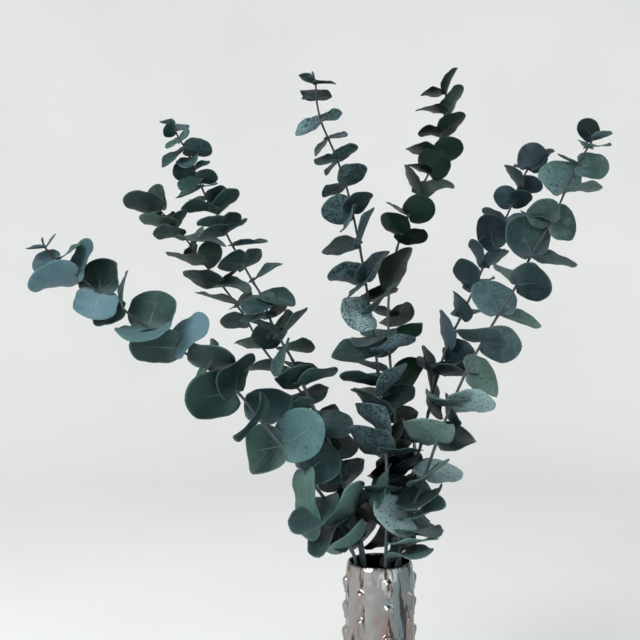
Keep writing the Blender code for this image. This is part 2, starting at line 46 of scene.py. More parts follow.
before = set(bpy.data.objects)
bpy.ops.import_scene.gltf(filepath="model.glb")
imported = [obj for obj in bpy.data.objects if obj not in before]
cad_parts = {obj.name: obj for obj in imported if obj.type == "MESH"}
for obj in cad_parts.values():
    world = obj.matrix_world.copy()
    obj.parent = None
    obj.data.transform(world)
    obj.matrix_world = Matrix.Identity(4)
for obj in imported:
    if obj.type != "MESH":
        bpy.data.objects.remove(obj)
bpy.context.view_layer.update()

MM = 0.001

# The front view: where its eye stands, and the view's place that the eye looks at.
EYE = Vector((-0.0595, -1.0, 0.440))
VIEW_MIDDLE_X = 320.0
VIEW_MIDDLE_Y = 320.0

# The part's vase.
VASE_HEIGHT = 200 * MM
VASE_FLOOR = 6 * MM
VASE_OUTSIDE = [(0, 30.5), (5, 32.5), (14, 34.0), (150, 34.5), (183, 34.5), (195, 33.2), (200, 31.5)]
VASE_INSIDE = [(200, 29.6), (190, 30.4), (14, 30.2), (6, 26.0)]
VASE_SIDES = 24
STUD_COLUMNS = 8
STUD_TURN = math.radians(10)
STUD_HEIGHT = 3.6 * MM
STUD_RISE = 26 * MM
STUD_TOP = 183 * MM
STUD_ROWS = 6
RIB_HEIGHT = 0.7 * MM
RIB_FOOT, RIB_TOP = 5, 190

# The stems.
STEM_SIDES = 4
STEM_LOW_RADIUS = 2.2 * MM
STEM_TIP_RADIUS = 0.9 * MM
STEM_FLOOR_GAP = 0.3 * MM
STEM_DRAWN_IN = 0.8

# The leaves: a blade is as wide as it is long, on a short neck, widest below its middle.
BLADE_THICKNESS = 0.7 * MM
NECK_HALF_WIDTH = 1.0 * MM
NECK_END = 0.11
BLADE_LEAN = 0.8
BLADE_FILL = 0.5
BASE_LOBE = 0.2
CORNER_SPARE = 1.07
NECK_ROW = (0.10, (-1, 1))
LARGE_ROWS = ((0.21, (-1, 0, 1)), (0.41, (-1, 0, 1)), (0.65, (-1, 0, 1)), (0.87, (-1, 0, 1)))
MEDIUM_ROWS = ((0.23, (-1, 0, 1)), (0.48, (-1, 0, 1)), (0.78, (-1, 0, 1)))
SMALL_ROWS = ((0.23, (-1, 1)), (0.48, (-1, 1)), (0.78, (-1, 1)))
TINY_ROWS = ((0.3, (-1, 1)), (0.72, (-1, 1)))
LARGE_LEAF = 54 * MM
SMALL_LEAF = 38 * MM
TINY_LEAF = 23 * MM
YOUNG_LENGTH = 14 * MM
YOUNG_STRETCH = 0.35
ROOT_PAST_CORE = 0.5 * MM
CLEARANCE = 0.25 * MM
LENGTH_SPARE = 1.02
WIDTH_SPARE = 1.05
REACH_FROM_MIDDLE = 0.7

# The habits that are drawn for each leaf, as the least and the most of each.
ASPECTS = (0.92, 1.06)
CUPS = (0.15, 0.6)
BOWS = (-0.05, 0.07)
WAVES = (0.05, 0.16)

# How a leaf may be bent clear of its neighbours, in shares and degrees, and what each change costs.
SHRINKS = (1.0, 0.93, 0.85, 0.75)
STRETCHES = (1.0, 0.9, 1.1, 0.8, 1.2)
ROLLS = (0, 8, -8, 16, -16, 28, -28)
SWINGS = (0, 4, -4, 9, -9, 15, -15)
SHRINK_COST = 45
TURNED_COST = 3
STRETCH_COST = 8
ROLL_OF_COST_ONE = 8
SWING_OF_COST_ONE = 4
MOST_COST_FOR_OWN = 7

NEAR, FAR = -1, 1

# The tones of the leaves that stand out in the front view: how light, how green and how much painted
# shade. How light is partly a leaf's own tint, partly painted light on brightly lit leaves and partly
# painted shade on shaded ones. BRIGHT and LEAFY mix in the painted light colour, and DUSK and DEEP
# carry painted shade. A leaf without a tone draws one.
Tone = namedtuple("Tone", "light green gloom")
BLUE = Tone(0.95, 0.0, 0.0)
BRIGHT = Tone(1.5, 0.45, 0.0)
LEAFY = Tone(1.25, 1.0, 0.0)
PALE = Tone(0.8, 0.4, 0.0)
FRESH = Tone(0.7, 1.0, 0.0)
SLATE = Tone(0.5, 0.0, 0.0)
DUSK = Tone(0.25, 0.3, 0.1)
GREEN = Tone(0.25, 1.0, 0.0)
DEEP = Tone(0.0, 0.5, 0.25)

# Low between the stems the leaves shade each other, and that shade is painted into their colour: where
# the painted shade is deepest and how far it goes.
SHADE_MIDDLE = Vector((0.005, 0.02, 0.265))
SHADE_REACH = Vector((0.055, 0.06, 0.115))
DEEPEST_SHADE = 0.9

Branch = namedtuple("Branch", "name rim_x rim_depth tip_depth leaf_size seed joints")
Leaf = namedtuple("Leaf", "root along across upper length width cup bow wave phase tone")
SHAPE_FIELDS = Leaf._fields[:-1]
Placing = namedtuple("Placing", "branch joint base tangent reading share habit")

# A joint is its place on the stem, then its leaves: tip x, tip y, width as seen, and whether the
# tip leans to the viewer or away, and for some its tone. A joint without leaves only guides the stem.
LEFT_LOW = [
    (353, 553, (347, 533, 46, NEAR, LEAFY), (321, 538, 20, FAR, DEEP)),
    (337, 518, (357, 474, 24, NEAR, LEAFY), (318, 543, 14, NEAR, DUSK)),
    (326, 500, (306, 527, 32, NEAR, DUSK)),
    (305, 473, (313, 538, 26, NEAR, FRESH), (337, 452, 42, FAR, DUSK)),
    (282, 446, (244, 457, 48, FAR, GREEN), (322, 418, 47, NEAR, PALE)),
    (260, 420, (252, 418, 50, NEAR, DUSK), (276, 393, 42, FAR, DUSK)),
    (238, 391, (190, 398, 48, NEAR, GREEN), (249, 354, 25, NEAR, DEEP)),
    (207, 367, (196, 366, 54, NEAR, FRESH), (222, 345, 44, FAR, GREEN)),
    (177, 348, (131, 346, 36, NEAR, GREEN), (211, 321, 30, NEAR, BLUE)),
    (147, 327, (144, 340, 54, NEAR, PALE), (156, 290, 48, FAR, GREEN)),
    (124, 310, (92, 321, 22, FAR, DEEP), (127, 271, 8, FAR, FRESH)),
    (98, 291, (92, 318, 48, NEAR, BLUE), (98, 257, 46, FAR, DEEP)),
    (78, 276, (32, 288, 22, NEAR, BLUE), (93, 240, 24, NEAR, SLATE)),
    (55, 261, (28, 257, 25, FAR, SLATE), (80, 247, 6, NEAR)),
    (43, 245, (24, 247, 3, NEAR), (52, 231, 5, FAR)),
    (42, 237),
]
LEFT_THIN = [
    (359, 545, (342, 534, 32, FAR), (378, 540, 30, FAR)),
    (352, 515, (334, 505, 34, FAR), (370, 506, 34, FAR)),
    (343, 482, (324, 474, 34, FAR), (364, 474, 34, FAR)),
    (333, 452, (350, 438, 34, FAR), (318, 440, 30, FAR)),
    (322, 425, (342, 418, 28, FAR)),
    (305, 395),
    (283, 374, (250, 368, 12, NEAR)),
    (260, 345, (236, 340, 14, NEAR)),
    (247, 320, (220, 317, 16, NEAR)),
    (239, 308, (199, 296, 3, NEAR), (252, 302, 10, FAR)),
    (219, 281, (183, 270, 15, NEAR), (250, 290, 12, NEAR), (242, 267, 4, FAR)),
    (204, 264, (167, 254, 7, NEAR), (216, 243, 24, FAR)),
    (190, 244, (189, 256, 12, NEAR), (200, 223, 9, FAR)),
    (184, 237, (155, 233, 12, NEAR), (227, 248, 9, NEAR)),
    (175, 226, (141, 218, 11, NEAR), (187, 210, 7, FAR)),
    (164, 215, (141, 214, 3, NEAR), (171, 214, 4, FAR)),
    (160, 210, (154, 184, 22, NEAR), (128, 191, 17, NEAR)),
    (158, 205),
]
LEFT_TALL = [
    (357, 527),
    (352, 510, (336, 498, 22, FAR), (366, 497, 20, NEAR)),
    (342, 478, (360, 462, 16, FAR), (326, 470, 24, FAR)),
    (330, 443),
    (322, 424, (353, 428, 26, NEAR), (306, 414, 22, FAR)),
    (311, 402, (302, 390, 42, FAR, DEEP), (280, 408, 14, FAR)),
    (305, 389, (292, 372, 40, NEAR, DUSK), (335, 371, 15, NEAR)),
    (292, 358, (315, 376, 16, NEAR)),
    (284, 346, (310, 353, 16, FAR), (281, 372, 14, NEAR)),
    (278, 335, (243, 318, 5, NEAR), (306, 306, 3, NEAR)),
    (275, 331, (262, 353, 28, NEAR), (291, 328, 24, FAR)),
    (268, 314, (246, 320, 12, NEAR), (283, 312, 18, FAR)),
    (260, 292, (257, 311, 32, NEAR), (294, 302, 16, FAR)),
    (254, 284, (284, 267, 6, NEAR)),
    (243, 264, (223, 263, 20, NEAR), (260, 256, 14, FAR)),
    (231, 243, (266, 240, 4, NEAR)),
    (226, 233, (206, 233, 10, NEAR), (248, 222, 7, NEAR)),
    (221, 222, (199, 223, 9, NEAR), (239, 220, 14, FAR)),
    (216, 212, (183, 210, 8, NEAR), (239, 191, 12, NEAR)),
    (207, 199, (190, 197, 11, FAR), (227, 191, 14, FAR)),
    (201, 186, (176, 198, 8, NEAR), (216, 186, 4, NEAR)),
    (197, 177, (184, 192, 22, NEAR), (217, 177, 13, FAR)),
    (194, 171, (174, 177, 20, NEAR), (211, 167, 9, NEAR)),
    (189, 155, (188, 167, 22, NEAR)),
    (187, 150, (165, 170, 12, NEAR), (213, 152, 16, FAR)),
    (179, 139, (165, 148, 9, NEAR), (190, 134, 11, NEAR)),
    (175, 130, (165, 132, 12, NEAR), (184, 121, 14, FAR)),
    (171, 124, (163, 123, 3, NEAR)),
    (169, 119),
]
MIDDLE = [
    (387, 520, (371, 506, 20, FAR), (403, 506, 18, NEAR)),
    (388, 492, (370, 479, 24, NEAR), (405, 480, 22, FAR)),
    (387, 468, (378, 499, 8, NEAR, FRESH)),
    (386, 455, (352, 427, 28, NEAR, SLATE), (418, 448, 12, NEAR, GREEN), (403, 423, 11, FAR, DEEP)),
    (384, 434, (390, 419, 7, NEAR), (357, 402, 20, NEAR, PALE)),
    (381, 413, (353, 387, 16, NEAR, GREEN), (413, 386, 18, FAR, DEEP)),
    (380, 394, (406, 361, 16, NEAR, PALE), (360, 388, 16, FAR, DEEP)),
    (379, 384, (340, 375, 14, NEAR, DUSK)),
    (378, 372, (356, 360, 9, FAR)),
    (376, 353, (332, 357, 18, NEAR, GREEN), (413, 336, 14, NEAR, BLUE)),
    (374, 336, (366, 345, 22, NEAR, DUSK), (384, 330, 22, FAR)),
    (371, 318, (343, 323, 36, NEAR, BRIGHT), (397, 289, 5, NEAR, FRESH)),
    (365, 277, (328, 272, 21, NEAR, PALE), (385, 249, 17, NEAR, SLATE), (357, 287, 5, NEAR)),
    (360, 248, (323, 254, 17, FAR, DEEP), (374, 211, 5, NEAR)),
    (352, 209, (321, 206, 27, NEAR, PALE), (365, 191, 20, NEAR, DUSK), (345, 226, 4, NEAR)),
    (346, 184, (364, 168, 20, NEAR), (325, 196, 8, FAR)),
    (336, 156, (315, 163, 13, NEAR), (356, 144, 10, NEAR), (328, 168, 3, NEAR)),
    (328, 138, (346, 139, 9, NEAR), (316, 157, 7, NEAR)),
    (320, 120, (296, 138, 16, NEAR), (341, 115, 13, NEAR)),
    (316, 98, (313, 84, 30, FAR, DEEP), (302, 100, 8, NEAR)),
    (316, 83, (300, 75, 4, NEAR), (337, 84, 3, NEAR)),
    (312, 71),
]
DARK = [
    (393, 547, (371, 541, 34, FAR), (415, 541, 34, FAR)),
    (393, 505, (370, 496, 34, FAR), (416, 492, 34, FAR)),
    (393, 475, (402, 450, 30, FAR), (376, 462, 34, FAR)),
    (394, 448, (380, 432, 26, FAR), (410, 437, 24, FAR)),
    (396, 425, (384, 405, 22, FAR), (412, 408, 20, FAR)),
    (393, 395, (418, 363, 26, FAR), (376, 378, 22, FAR)),
    (389, 350, (421, 321, 12, FAR), (368, 341, 22, FAR)),
    (388, 312, (413, 316, 26, FAR), (372, 301, 14, FAR)),
    (389, 290, (409, 250, 24, NEAR), (364, 303, 14, FAR)),
    (394, 262, (383, 262, 10, NEAR)),
    (397, 248),
    (401, 235, (384, 216, 20, NEAR), (421, 245, 22, NEAR)),
    (408, 216, (431, 204, 28, NEAR), (389, 202, 9, FAR)),
    (417, 195, (453, 184, 18, FAR), (404, 166, 5, NEAR)),
    (430, 172, (446, 153, 33, NEAR), (408, 169, 3, NEAR)),
    (436, 151, (464, 144, 22, FAR), (406, 148, 5, NEAR)),
    (441, 136, (463, 116, 15, NEAR), (418, 136, 7, NEAR)),
    (445, 112, (460, 85, 14, NEAR), (416, 111, 4, NEAR)),
    (446, 91, (457, 67, 8, NEAR), (422, 92, 2, FAR)),
    (444, 79),
]
RIGHT_INNER = [
    (402, 525, (388, 516, 26, FAR), (424, 518, 26, FAR)),
    (408, 492, (394, 480, 30, FAR), (428, 484, 26, FAR)),
    (415, 465, (419, 446, 14, FAR), (400, 456, 26, FAR)),
    (421, 445, (407, 431, 22, FAR), (435, 430, 20, FAR)),
    (429, 410),
    (432, 397, (428, 347, 13, FAR, DEEP), (438, 421, 11, FAR, DEEP)),
    (437, 378, (452, 363, 14, FAR), (424, 362, 18, FAR)),
    (447, 344, (440, 308, 8, NEAR, BLUE), (473, 370, 26, NEAR, SLATE)),
    (460, 319, (453, 295, 11, NEAR), (478, 311, 12, FAR)),
    (475, 287, (462, 256, 17, NEAR), (490, 271, 14, FAR)),
    (483, 267, (470, 240, 7, NEAR), (507, 252, 12, NEAR)),
    (494, 246, (486, 215, 28, NEAR, DUSK), (505, 248, 12, FAR), (484, 252, 26, NEAR)),
    (503, 224, (531, 214, 10, FAR), (483, 208, 7, FAR)),
    (512, 205, (499, 188, 22, NEAR), (528, 196, 20, NEAR)),
    (519, 184, (504, 164, 4, NEAR), (541, 180, 18, NEAR)),
    (528, 169, (536, 144, 28, NEAR), (553, 148, 12, FAR), (513, 167, 3, NEAR)),
    (537, 154),
    (540, 145),
]
RIGHT_OUTER = [
    (399, 557, (421, 549, 8, NEAR, PALE), (378, 563, 6, NEAR)),
    (401, 545, (424, 531, 22, NEAR, LEAFY), (377, 524, 3, NEAR)),
    (405, 530, (441, 535, 18, FAR, DUSK), (427, 527, 10, FAR)),
    (409, 517, (373, 508, 27, NEAR, BRIGHT), (438, 501, 7, NEAR, PALE)),
    (413, 508, (428, 495, 14, FAR, GREEN), (394, 488, 18, FAR, SLATE)),
    (424, 479, (427, 463, 28, NEAR, FRESH), (460, 473, 20, NEAR, BRIGHT)),
    (436, 443, (412, 416, 36, NEAR, LEAFY), (474, 438, 26, FAR, DEEP)),
    (451, 406, (437, 396, 20, NEAR, SLATE), (493, 402, 26, NEAR, BRIGHT), (452, 420, 9, NEAR)),
    (466, 371, (502, 385, 34, FAR, FRESH), (444, 375, 18, FAR, DEEP)),
    (483, 341, (465, 328, 26, NEAR, SLATE), (519, 345, 34, NEAR, SLATE)),
    (498, 315, (488, 281, 42, FAR, SLATE), (541, 326, 14, FAR)),
    (518, 284, (546, 282, 36, NEAR), (505, 263, 22, NEAR)),
    (530, 256, (516, 217, 44, FAR), (572, 267, 16, NEAR)),
    (552, 223, (535, 203, 30, NEAR), (580, 222, 38, NEAR, GREEN), (524, 210, 4, FAR)),
    (565, 191, (562, 158, 48, FAR, PALE), (600, 188, 5, NEAR)),
    (580, 160, (609, 164, 28, NEAR), (560, 149, 5, FAR)),
    (589, 146, (580, 142, 2, NEAR), (613, 143, 4, FAR)),
    (593, 139, (586, 118, 19, NEAR, DEEP), (611, 133, 5, NEAR)),
    (597, 131),
]
BRANCHES = [
    Branch("branch_left_low", -23, -8, -70, 50, 11, LEFT_LOW),
    Branch("branch_middle", 5, -14, -35, 42, 12, MIDDLE),
    Branch("branch_right_outer", 15, -12, -40, 48, 13, RIGHT_OUTER),
    Branch("branch_left_tall", -13, 0, -5, 38, 14, LEFT_TALL),
    Branch("branch_right_inner", 20, 4, 45, 34, 15, RIGHT_INNER),
    Branch("branch_left_thin", -17, 12, 55, 36, 16, LEFT_THIN),
    Branch("branch_dark", 10, 16, 70, 40, 17, DARK),
]

# One leaf that the front view shows finds no room in the part. Here it takes the place of a guessed
# one, and every other leaf keeps the place that it has in the part.
SET_ASIDE = (403, 506, 18, NEAR)
SEEN_INSTEAD = (373, 508, 27, NEAR, BRIGHT)


def seen_point(x, y, depth):
    """The point at this depth that the front view shows at (x, y)."""
    reach = 1.0 + depth
    return Vector(
        (
            EYE.x + (x - VIEW_MIDDLE_X) * MM * reach,
            depth,
            EYE.z - (y - VIEW_MIDDLE_Y) * MM * reach,
        )
    )


def held(value):
    """A value held between 0 and 1."""
    return min(max(value, 0.0), 1.0)


def branch_depth(branch, y):
    """The depth of a branch at a height of the front view: it leans evenly from the rim to its tip."""
    rim_y = VIEW_MIDDLE_Y + (EYE.z - VASE_HEIGHT) / MM
    tip_y = branch.joints[-1][1]
    share = held((rim_y - y) / (rim_y - tip_y))
    return (branch.rim_depth + (branch.tip_depth - branch.rim_depth) * share) * MM


def spine_of(branch):
    """The points of a stem from its cut end to its tip, and the share of its length at each."""
    drawn_in = STEM_DRAWN_IN * MM
    points = [
        Vector((branch.rim_x * drawn_in, branch.rim_depth * drawn_in, VASE_FLOOR + STEM_FLOOR_GAP)),
        Vector((branch.rim_x * MM, branch.rim_depth * MM, VASE_HEIGHT)),
    ]
    points += [seen_point(x, y, branch_depth(branch, y)) for x, y, *_ in branch.joints]
    reached = [0.0]
    for here, there in zip(points, points[1:]):
        reached.append(reached[-1] + (there - here).length)
    return points, [distance / reached[-1] for distance in reached]


def direction_at(place, points):
    after = points[min(place + 1, len(points) - 1)]
    before = points[max(place - 1, 0)]
    return (after - before).normalized()


def core_at(place, points):
    """The middle of the stem at a joint: its rings lie midway between the joints."""
    return 0.25 * points[place - 1] + 0.5 * points[place] + 0.25 * points[place + 1]


def ring_corners(ring, side, sides, first=0):
    """Four points of two rings that follow each other: here, beside, and those of the next ring."""
    here = first + ring * sides + side
    beside = first + ring * sides + (side + 1) % sides
    return here, beside, here + sides, beside + sides


def stem(spine, sides, swell=0.0):
    """Vertices and faces of a closed stem, with its rings midway between its joints."""
    points, shares = spine
    centres = [points[0]] + [0.5 * (a + b) for a, b in zip(points, points[1:])] + [points[-1]]
    ring_shares = [0.0] + [0.5 * (a + b) for a, b in zip(shares, shares[1:])] + [1.0]
    vertices, faces = [], []
    for place, (centre, share) in enumerate(zip(centres, ring_shares)):
        tangent = direction_at(place, centres)
        across = tangent.cross(Vector((0, 1, 0))).normalized()
        outward = across.cross(tangent)
        radius = STEM_LOW_RADIUS + (STEM_TIP_RADIUS - STEM_LOW_RADIUS) * share + swell
        for side in range(sides):
            turn = math.tau * side / sides
            vertices.append(centre + radius * (math.cos(turn) * across + math.sin(turn) * outward))
    for ring in range(len(centres) - 1):
        for side in range(sides):
            here, beside, above, above_beside = ring_corners(ring, side, sides)
            faces.append((here, beside, above_beside, above))
    faces.append(tuple(reversed(range(sides))))
    faces.append(tuple(range(len(vertices) - sides, len(vertices))))
    return vertices, faces


def half_width(u, width):
    """Half of the blade's width at the share u of its length: a short neck, then a round blade."""
    if u >= 1.0:
        return 0.0
    t = max((u - NECK_END) / (1.0 - NECK_END), 0.0)
    return max(NECK_HALF_WIDTH, 0.5 * width * math.sin(math.pi * t**BLADE_LEAN) ** BLADE_FILL)


def blade_point(leaf, u, v, grow=0.0):
    """A point of the blade's middle surface: u runs from root to tip, v from edge to edge."""
    half = half_width(u, leaf.width) + (grow if 0.0 < u < 1.0 else 0.0)
    outward = v * half / (0.5 * leaf.width)
    roll = leaf.cup / (0.5 * leaf.width)
    angle = v * half * roll
    sideways = math.sin(angle) / roll
    lift = (1.0 - math.cos(angle)) / roll
    lift += leaf.bow * leaf.length * 4.0 * u * (1.0 - u)
    lift += leaf.wave * half * v * abs(v) * math.sin(math.tau * u + leaf.phase)
    reach = leaf.length * (u - BASE_LOBE * (outward * (1.0 - u)) ** 2) + (grow if u >= 1.0 else 0.0)
    return leaf.root + reach * leaf.along + sideways * leaf.across + lift * leaf.upper


def stitched(row, next_row):
    """Triangles between two rows of points, from their left ends to their right ends."""
    triangles = []
    here, there = 0, 0
    while here < len(row) - 1 or there < len(next_row) - 1:
        row_done = here == len(row) - 1
        if row_done or (there + 1) * (len(row) - 1) <= (here + 1) * (len(next_row) - 1) and (
            there < len(next_row) - 1
        ):
            triangles.append((row[here], next_row[there], next_row[there + 1]))
            there += 1
        else:
            triangles.append((row[here], next_row[there], row[here + 1]))
            here += 1
    return triangles


def blade(leaf, swell=0.0, with_neck=True):
    """Vertices and triangles of a thin blade, split alike on both faces."""
    wide_rows = MEDIUM_ROWS
    if leaf.length > LARGE_LEAF:
        wide_rows = LARGE_ROWS
    elif leaf.length < TINY_LEAF:
        wide_rows = TINY_ROWS
    elif leaf.length < SMALL_LEAF:
        wide_rows = SMALL_ROWS
    neck_rows = ((0.0, (0,)), NECK_ROW) if with_neck else ()
    middle, rows = [], []
    for u, places in neck_rows + wide_rows + ((1.0, (0,)),):
        rows.append(list(range(len(middle), len(middle) + len(places))))
        middle += [blade_point(leaf, u, v, swell) for v in places]
    triangles = [triangle for pair in zip(rows, rows[1:]) for triangle in stitched(*pair)]
    last_row = rows.pop()
    outline = [row[0] for row in rows] + last_row + [row[-1] for row in reversed(rows)]
    if with_neck:
        outline.pop()
    elif len(rows[0]) == 3:
        outline.append(rows[0][1])
    return thickened(middle, triangles, outline, 0.5 * BLADE_THICKNESS + swell)


def thickened(middle, triangles, outline, half_thickness):
    """The closed solid round a surface: its two faces, and walls along its outline."""
    normals = [Vector((0, 0, 0)) for _ in middle]
    for a, b, c in triangles:
        normal = (middle[b] - middle[a]).cross(middle[c] - middle[a])
        for corner in (a, b, c):
            normals[corner] += normal
    offsets = [half_thickness * normal.normalized() for normal in normals]
    above = len(middle)
    vertices = [point - offset for point, offset in zip(middle, offsets)]
    vertices += [point + offset for point, offset in zip(middle, offsets)]
    faces = [(c, b, a) for a, b, c in triangles]
    faces += [(a + above, b + above, c + above) for a, b, c in triangles]
    for here, there in zip(outline, outline[1:] + outline[:1]):
        faces.append((here, there, there + above))
        faces.append((here, there + above, here + above))
    return vertices, faces


def leaf_length(branch, share):
    """The length of a leaf by its share of the way up the branch: young leaves near the tip are small."""
    grown = min((1.0 - share) / YOUNG_STRETCH, 1.0)
    return YOUNG_LENGTH + (branch.leaf_size * MM - YOUNG_LENGTH) * grown


def leaf_variations():
    """Ways to bend a leaf clear of its neighbours, the smallest change first."""
    found = []
    for shrink in SHRINKS:
        for side in (1, -1):
            for stretch in STRETCHES:
                for roll in ROLLS:
                    for swing in SWINGS:
                        cost = SHRINK_COST * (1.0 - shrink) + (TURNED_COST if side < 0 else 0)
                        cost += STRETCH_COST * abs(1.0 - stretch)
                        cost += (roll / ROLL_OF_COST_ONE) ** 2 + abs(swing) / SWING_OF_COST_ONE
                        found.append((cost, shrink, side, stretch, math.radians(roll), math.radians(swing)))
    return sorted(found, key=lambda variation: variation[0])


def placed_leaf(branch, joint, base, tangent, reading, share, habit, variation):
    """A leaf from its place in the front view and the branch's habit, bent by one variation."""
    x, y, *_ = joint
    tip_x, tip_y, seen_width, side, *tones = reading
    aspect, cup, bow, wave, phase = habit
    _, shrink, turned, stretch, roll, swing = variation
    reach = 1.0 + base.y
    flat = Vector(((tip_x - x) * MM, 0.0, (y - tip_y) * MM)) * reach * shrink
    flat = Matrix.Rotation(swing, 3, "Y") @ flat
    length = max(leaf_length(branch, share) * stretch * shrink, LENGTH_SPARE * flat.length)
    depth = side * turned * math.sqrt(length**2 - flat.length**2)
    along = (flat + Vector((0.0, depth, 0.0))).normalized()
    seen = CORNER_SPARE * seen_width * MM * reach * shrink
    width = max(aspect * length, WIDTH_SPARE * seen)
    in_view = Vector((flat.z, 0.0, -flat.x)).normalized()
    in_depth = along.cross(in_view)
    tilt = math.acos(seen / width)
    choices = []
    for turn in (tilt, -tilt):
        across = math.cos(turn) * in_view + math.sin(turn) * in_depth
        upper = along.cross(across)
        if upper.dot(tangent) < 0:
            across, upper = -across, -upper
        choices.append((upper.dot(tangent), across))
    across = Matrix.Rotation(roll, 3, along) @ max(choices, key=lambda choice: choice[0])[1]
    upper = along.cross(across)
    root = base - ROOT_PAST_CORE * along
    tone = tones[0] if tones else None
    return Leaf(root, along, across, upper, length + ROOT_PAST_CORE, width, cup, bow, wave, phase, tone)


def habits_of(branch):
    """One seeded habit per leaf of a branch: aspect, cup, bow, wave and the wave's phase."""
    draw = random.Random(branch.seed)
    return [
        [
            (
                draw.uniform(*ASPECTS),
                draw.uniform(*CUPS),
                draw.uniform(*BOWS),
                draw.uniform(*WAVES),
                draw.uniform(0.0, math.tau),
            )
            for _ in joint[2:]
        ]
        for joint in branch.joints
    ]


def tree_of(shape):
    return BVHTree.FromPolygons(*shape)


def crosses(tree, others):
    return any(tree.overlap(other) for other in others)


def near(centre, reach, placed):
    return [tree for middle, extent, tree in placed if (middle - centre).length < reach + extent]


def placings_of(branch, spine):
    """What each leaf of a branch is placed by: its joint, the stem there, its reading and habit."""
    points, shares = spine
    found = []
    for place, (joint, habits) in enumerate(zip(branch.joints, habits_of(branch)), start=2):
        if len(joint) > 2:
            base, tangent = core_at(place, points), direction_at(place, points)
            for reading, habit in zip(joint[2:], habits):
                found.append(Placing(branch, joint, base, tangent, reading, shares[place], habit))
    return found


def grow_leaves(branches, spines, vase_shape):
    """Places every leaf, each bent clear of the vase, the stems and the leaves placed before it.

    All leaves are placed as in the part. Then the one that is set aside makes room for the seen one.
    """
    variations = leaf_variations()
    vase_tree = tree_of(vase_shape)
    stem_trees = {
        branch.name: tree_of(stem(spines[branch.name], STEM_SIDES, CLEARANCE)) for branch in branches
    }
    leaves, whole_leaves, outer_blades = ({branch.name: [] for branch in branches} for _ in range(3))

    def place(placing):
        """Places one leaf in the first way that is clear of the rest, or else of the other branches."""
        name = placing.branch.name
        strangers = [vase_tree] + [tree for other, tree in stem_trees.items() if other != name]
        fallback = None
        for variation in variations:
            if fallback and variation[0] > MOST_COST_FOR_OWN:
                break
            leaf = placed_leaf(*placing, variation)
            centre = placing.base + 0.5 * leaf.length * leaf.along
            reach = REACH_FROM_MIDDLE * leaf.length
            whole = tree_of(blade(leaf, CLEARANCE))
            beside = [
                tree for other, placed in whole_leaves.items() if other != name
                for tree in near(centre, reach, placed)
            ]
            if crosses(whole, strangers + beside):
                continue
            outer = tree_of(blade(leaf, CLEARANCE, with_neck=False))
            fits = not crosses(outer, near(centre, reach, outer_blades[name]) + [stem_trees[name]])
            if fits or not fallback:
                fallback = (leaf, centre, reach, whole, outer)
            if fits:
                break
        if fallback:
            leaf, centre, reach, whole, outer = fallback
            leaves[name].append(leaf)
            whole_leaves[name].append((centre, reach, whole))
            outer_blades[name].append((centre, reach, outer))
        return fallback is not None

    placings = [placing for branch in branches for placing in placings_of(branch, spines[branch.name])]
    for placing in placings:
        if place(placing) and placing.reading == SET_ASIDE:
            aside = placing.branch.name
            number = len(leaves[aside]) - 1
    for placed in (leaves, whole_leaves, outer_blades):
        del placed[aside][number]
    for placing in placings:
        if placing.reading == SEEN_INSTEAD:
            place(placing)
    return leaves


# The finer shapes that stand for the solids. A blade is drawn 1 long and 1 wide, from its root.
BLADE_SPOKES = 32
BLADE_RINGS = (0.0, 0.34, 0.66, 0.9, 1.0)
BLADE_CENTRE = 0.46
LOBE_REACH = 0.2
NOTCH_PLACE = 0.02
NOTCH_HALF_ANGLE = 0.3
APEX = 0.025
APEX_HALF_ANGLE = 0.25
RIM_THINNESS = 0.55
FRILLS = 3
FRILL_DEPTH = 0.012

# A blade's short stalk: its half width, how far along and how wide each row is, its four corners,
# and from where it thins out.
PETIOLE_HALF_SHARE = 0.022
PETIOLE_ROWS = ((0.0, 1.3), (0.05, 1.0), (0.16, 0.4))
PETIOLE_CORNERS = ((-1, -1.9), (1, -1.9), (1, 1.7), (-1, 1.7))
PETIOLE_THIN_FROM = 0.1
PETIOLE_THIN_SHARE = 0.6

# A stem's girth at shares of the way past a joint, and the bud's at millimetres along it.
STEM_STEPS = ((0.0, 1.0), (0.3, 1.0), (0.43, 1.14), (0.5, 1.34), (0.57, 1.12), (0.75, 0.98))
BUD_STEPS = ((1.5, 1.25), (3.0, 1.1), (4.2, 0.5), (4.6, 0.1))

# The vase's rows, as heights and radii in millimetres. A row that ends in 0.0 carries no relief.
VASE_COLUMNS = 176
VASE_ROW = 1.5
OUTER_PROFILE = [(0, 30.2), (0.6, 31.2), *VASE_OUTSIDE[1:-1], (199, 31.9)]
INNER_PROFILE = [(199.2, 29.7), (190, 30.4), (14, 30.2), (8, 28.5), (6, 25.0)]
FOOT_HEIGHTS = [0.0, 0.3, 0.6, 1.4, 2.6]
RIM_ROWS = [(199.75, 31.4, 0.0), (200.0, 30.8, 0.0), (199.8, 30.1, 0.0)]
INSIDE_HEIGHTS = [199.2, 197, 190, 180, 160, 130, 100, 60, 30, 14, 10, 8, 6.6, 6]
FLOOR_ROW = (6.0, 14.0, 0.0)

# The relief of the vase's outside: ribs, facets between them and the wobble of a hand-made wall.
RIB_TURN = math.radians(15)
RIB_HALF_WIDTH = math.radians(11)
FACET_DEPTH = 0.35
RELIEF_TOP = 196
RELIEF_FADE_IN, RELIEF_FADE_OUT = 12, 8
HAND_WOBBLE = 0.3
WOBBLES_AROUND = 2.2
WOBBLE_RISE = 45

# The studs: how far each may be off its place in millimetres and in degrees, its size and its shape.
STUD_SEED = 5
STUD_SHIFT = 1.5
STUD_SWAY = 2.5
STUD_SIZES = (0.88, 1.08)
STUD_DROOP = 0.35
STUD_ROUNDNESS = 0.75

Finish = namedtuple("Finish", "pale moss deep under bloom speck vein rim mottled specked roughness")
